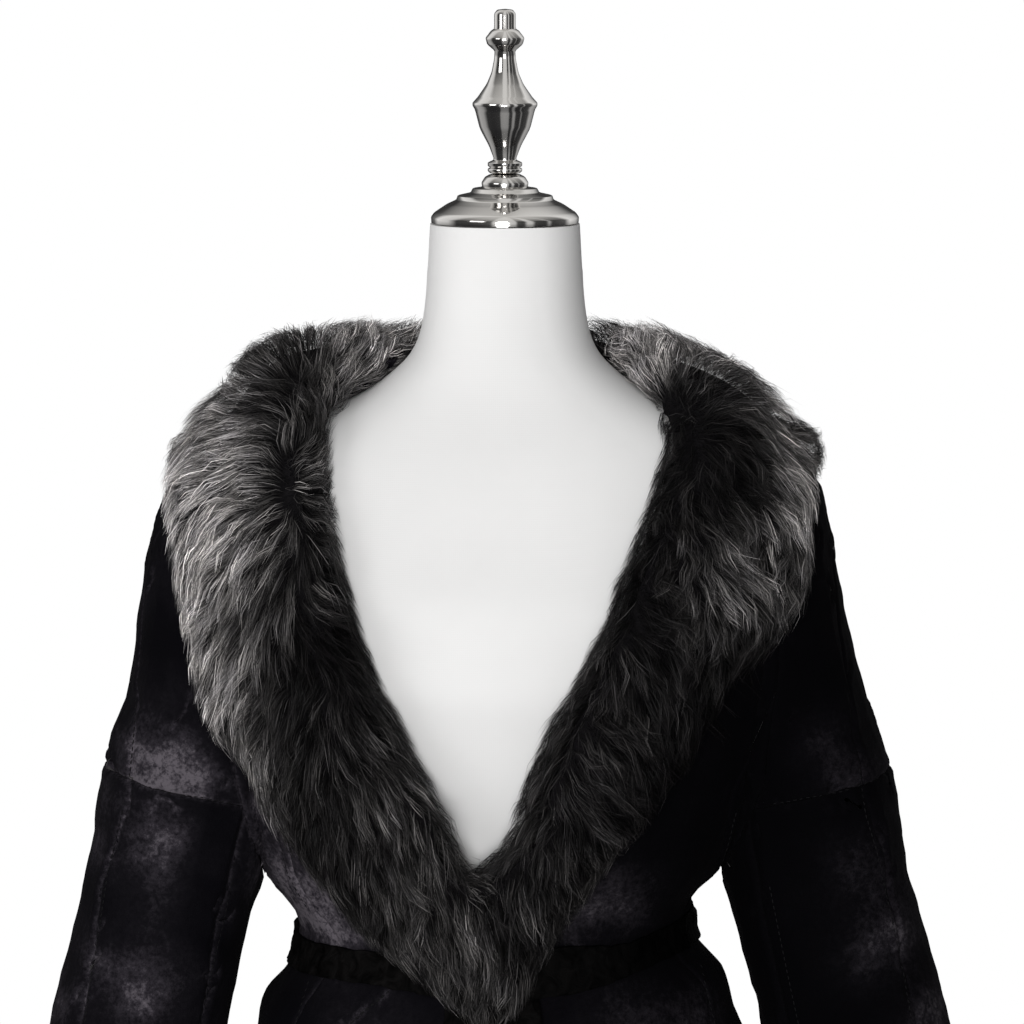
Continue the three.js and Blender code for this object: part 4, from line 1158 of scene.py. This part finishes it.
long_hair = new_finish("long_silver_hair")
dyed = long_hair.add("Attribute", {}, attribute_name="hair_colour").outputs["Color"]
cast = long_hair.ramp(long_hair.noise(60.0, 3.0), (0.35, (0.86, 0.84, 0.86)), (0.65, (1.0, 0.97, 0.95)))
long_hair.shade(
    Base_Color=long_hair.mix(1.0, dyed, cast, blend_type="MULTIPLY"),
    Roughness=0.42,
    Specular_IOR_Level=0.06,
)

RIBBON_LOOPS = np.array([0, 2, 1, 1, 2, 4, 3, 3, 4, 5])
RIBBON_STARTS = np.array([0, 3, 7])
STRIPS = ("hair_right_outer", "hair_right_inner", "hair_left_inner", "hair_left_outer")
order = np.argsort(roots[:, 0], kind="stable")
for name, part in zip(STRIPS, np.array_split(order, len(STRIPS))):
    mesh = bpy.data.meshes.new(name)
    hair_number = np.arange(len(part))[:, None]
    mesh.vertices.add(len(part) * 6)
    mesh.vertices.foreach_set("co", ribbon[part].ravel())
    mesh.loops.add(len(part) * 10)
    mesh.loops.foreach_set("vertex_index", (RIBBON_LOOPS + 6 * hair_number).ravel())
    mesh.polygons.add(len(part) * 3)
    mesh.polygons.foreach_set("loop_start", (RIBBON_STARTS + 10 * hair_number).ravel())
    mesh.update(calc_edges=True)
    colour = mesh.attributes.new("hair_colour", "FLOAT_COLOR", "POINT")
    colour.data.foreach_set("color", hair_colour[part].ravel())
    mesh.shade_smooth()
    stand_for(placed(mesh), slot="fur", look=long_hair)


# The studio: a wide white floor, white walls that light the coat softly and less from its left,
# and two soft lamps in front.
LAMP_SIZE = 1.4
LAMPS = [("lamp_left", (-2.4, -2.4, 2.6), 22), ("lamp_front", (-0.3, -4.7, 1.4), 146)]
bpy.ops.object.select_all(action="DESELECT")
bpy.ops.mesh.primitive_circle_add(vertices=96, radius=2.7, fill_type="NGON", location=(0, 0, 0))
studio_floor = bpy.context.object
studio_floor.name = "studio_floor"
floor_white = new_finish("floor_white")
scuffs = floor_white.noise(3.0, 4.0)
floor_tone = floor_white.ramp(scuffs, (0.0, (0.8, 0.8, 0.8)), (1.0, (0.84, 0.84, 0.84)))
floor_white.shade(Base_Color=floor_tone, Roughness=0.9)
studio_floor.data.materials.append(floor_white.owner)
studio_floor.visible_glossy = False

# What the polished metal mirrors, from the front by the wearer's right and the back to the front
# again: bright windows between dark screens, as share of a turn and brightness. The walls go from
# the wearer's right to the left, and the ceiling and the cellar from below to above.
STUDIO_SCREENS = [
    (0.001, 0.8), (0.05, 0.72), (0.062, 0.08), (0.15, 0.05), (0.23, 0.06), (0.28, 0.8), (0.36, 1.0),
    (0.4, 0.2), (0.46, 0.04), (0.54, 0.05), (0.6, 0.7), (0.66, 1.0), (0.7, 0.12), (0.78, 0.05),
    (0.795, 0.5), (0.81, 0.05), (0.865, 0.06), (0.88, 0.7), (0.9, 0.75), (0.915, 0.07), (0.945, 0.08),
    (0.955, 0.72), (0.999, 0.8),
]
WALLS = [(0.001, 0.45), (0.5, 0.27), (0.8, 0.12), (0.999, 0.03)]
CEILING = [(0.001, 0.0), (0.7, 0.0), (0.85, 0.3), (0.999, 0.75)]
CELLAR = [(0.001, 0.9), (0.25, 0.5), (0.44, 0.5), (0.5, 0.0), (0.999, 0.0)]
studio = Nodes(bpy.data.worlds.new("studio"), "Generated")


def greys(value, stops):
    return studio.ramp(value, *((at, (tone, tone, tone)) for at, tone in stops))


direction = studio.add("SeparateXYZ", {"Vector": studio.place}).outputs
bearing = studio.math("ARCTAN2", direction["X"], direction["Y"])
screens = greys(studio.spread(bearing, -math.pi, math.pi), STUDIO_SCREENS)
walls = greys(studio.spread(direction["X"], -1.0, 1.0), WALLS)
up_room = studio.spread(direction["Z"], -1.0, 1.0)
mirrored = studio.mix(greys(up_room, CEILING), screens, (0.9, 0.89, 0.87, 1))
mirrored = studio.mix(greys(up_room, CELLAR), mirrored, (0.012, 0.012, 0.014, 1))
ray = studio.add("LightPath", {}).outputs
colour = studio.mix(ray["Is Diffuse Ray"], (1, 1, 1, 1), walls)
colour = studio.mix(ray["Is Glossy Ray"], colour, mirrored)
studio.put(studio.tree.nodes["Background"].inputs["Color"], colour)
bpy.context.scene.world = studio.owner
bpy.context.scene.view_settings.view_transform = "Standard"
for name, spot, power in LAMPS:
    bpy.ops.object.light_add(type="AREA", location=spot)
    lamp = bpy.context.object
    lamp.name = name
    lamp.data.size = LAMP_SIZE
    lamp.data.energy = power
    lamp.rotation_euler = (VIEW_POINT - Vector(spot)).to_track_quat("-Z", "Y").to_euler()
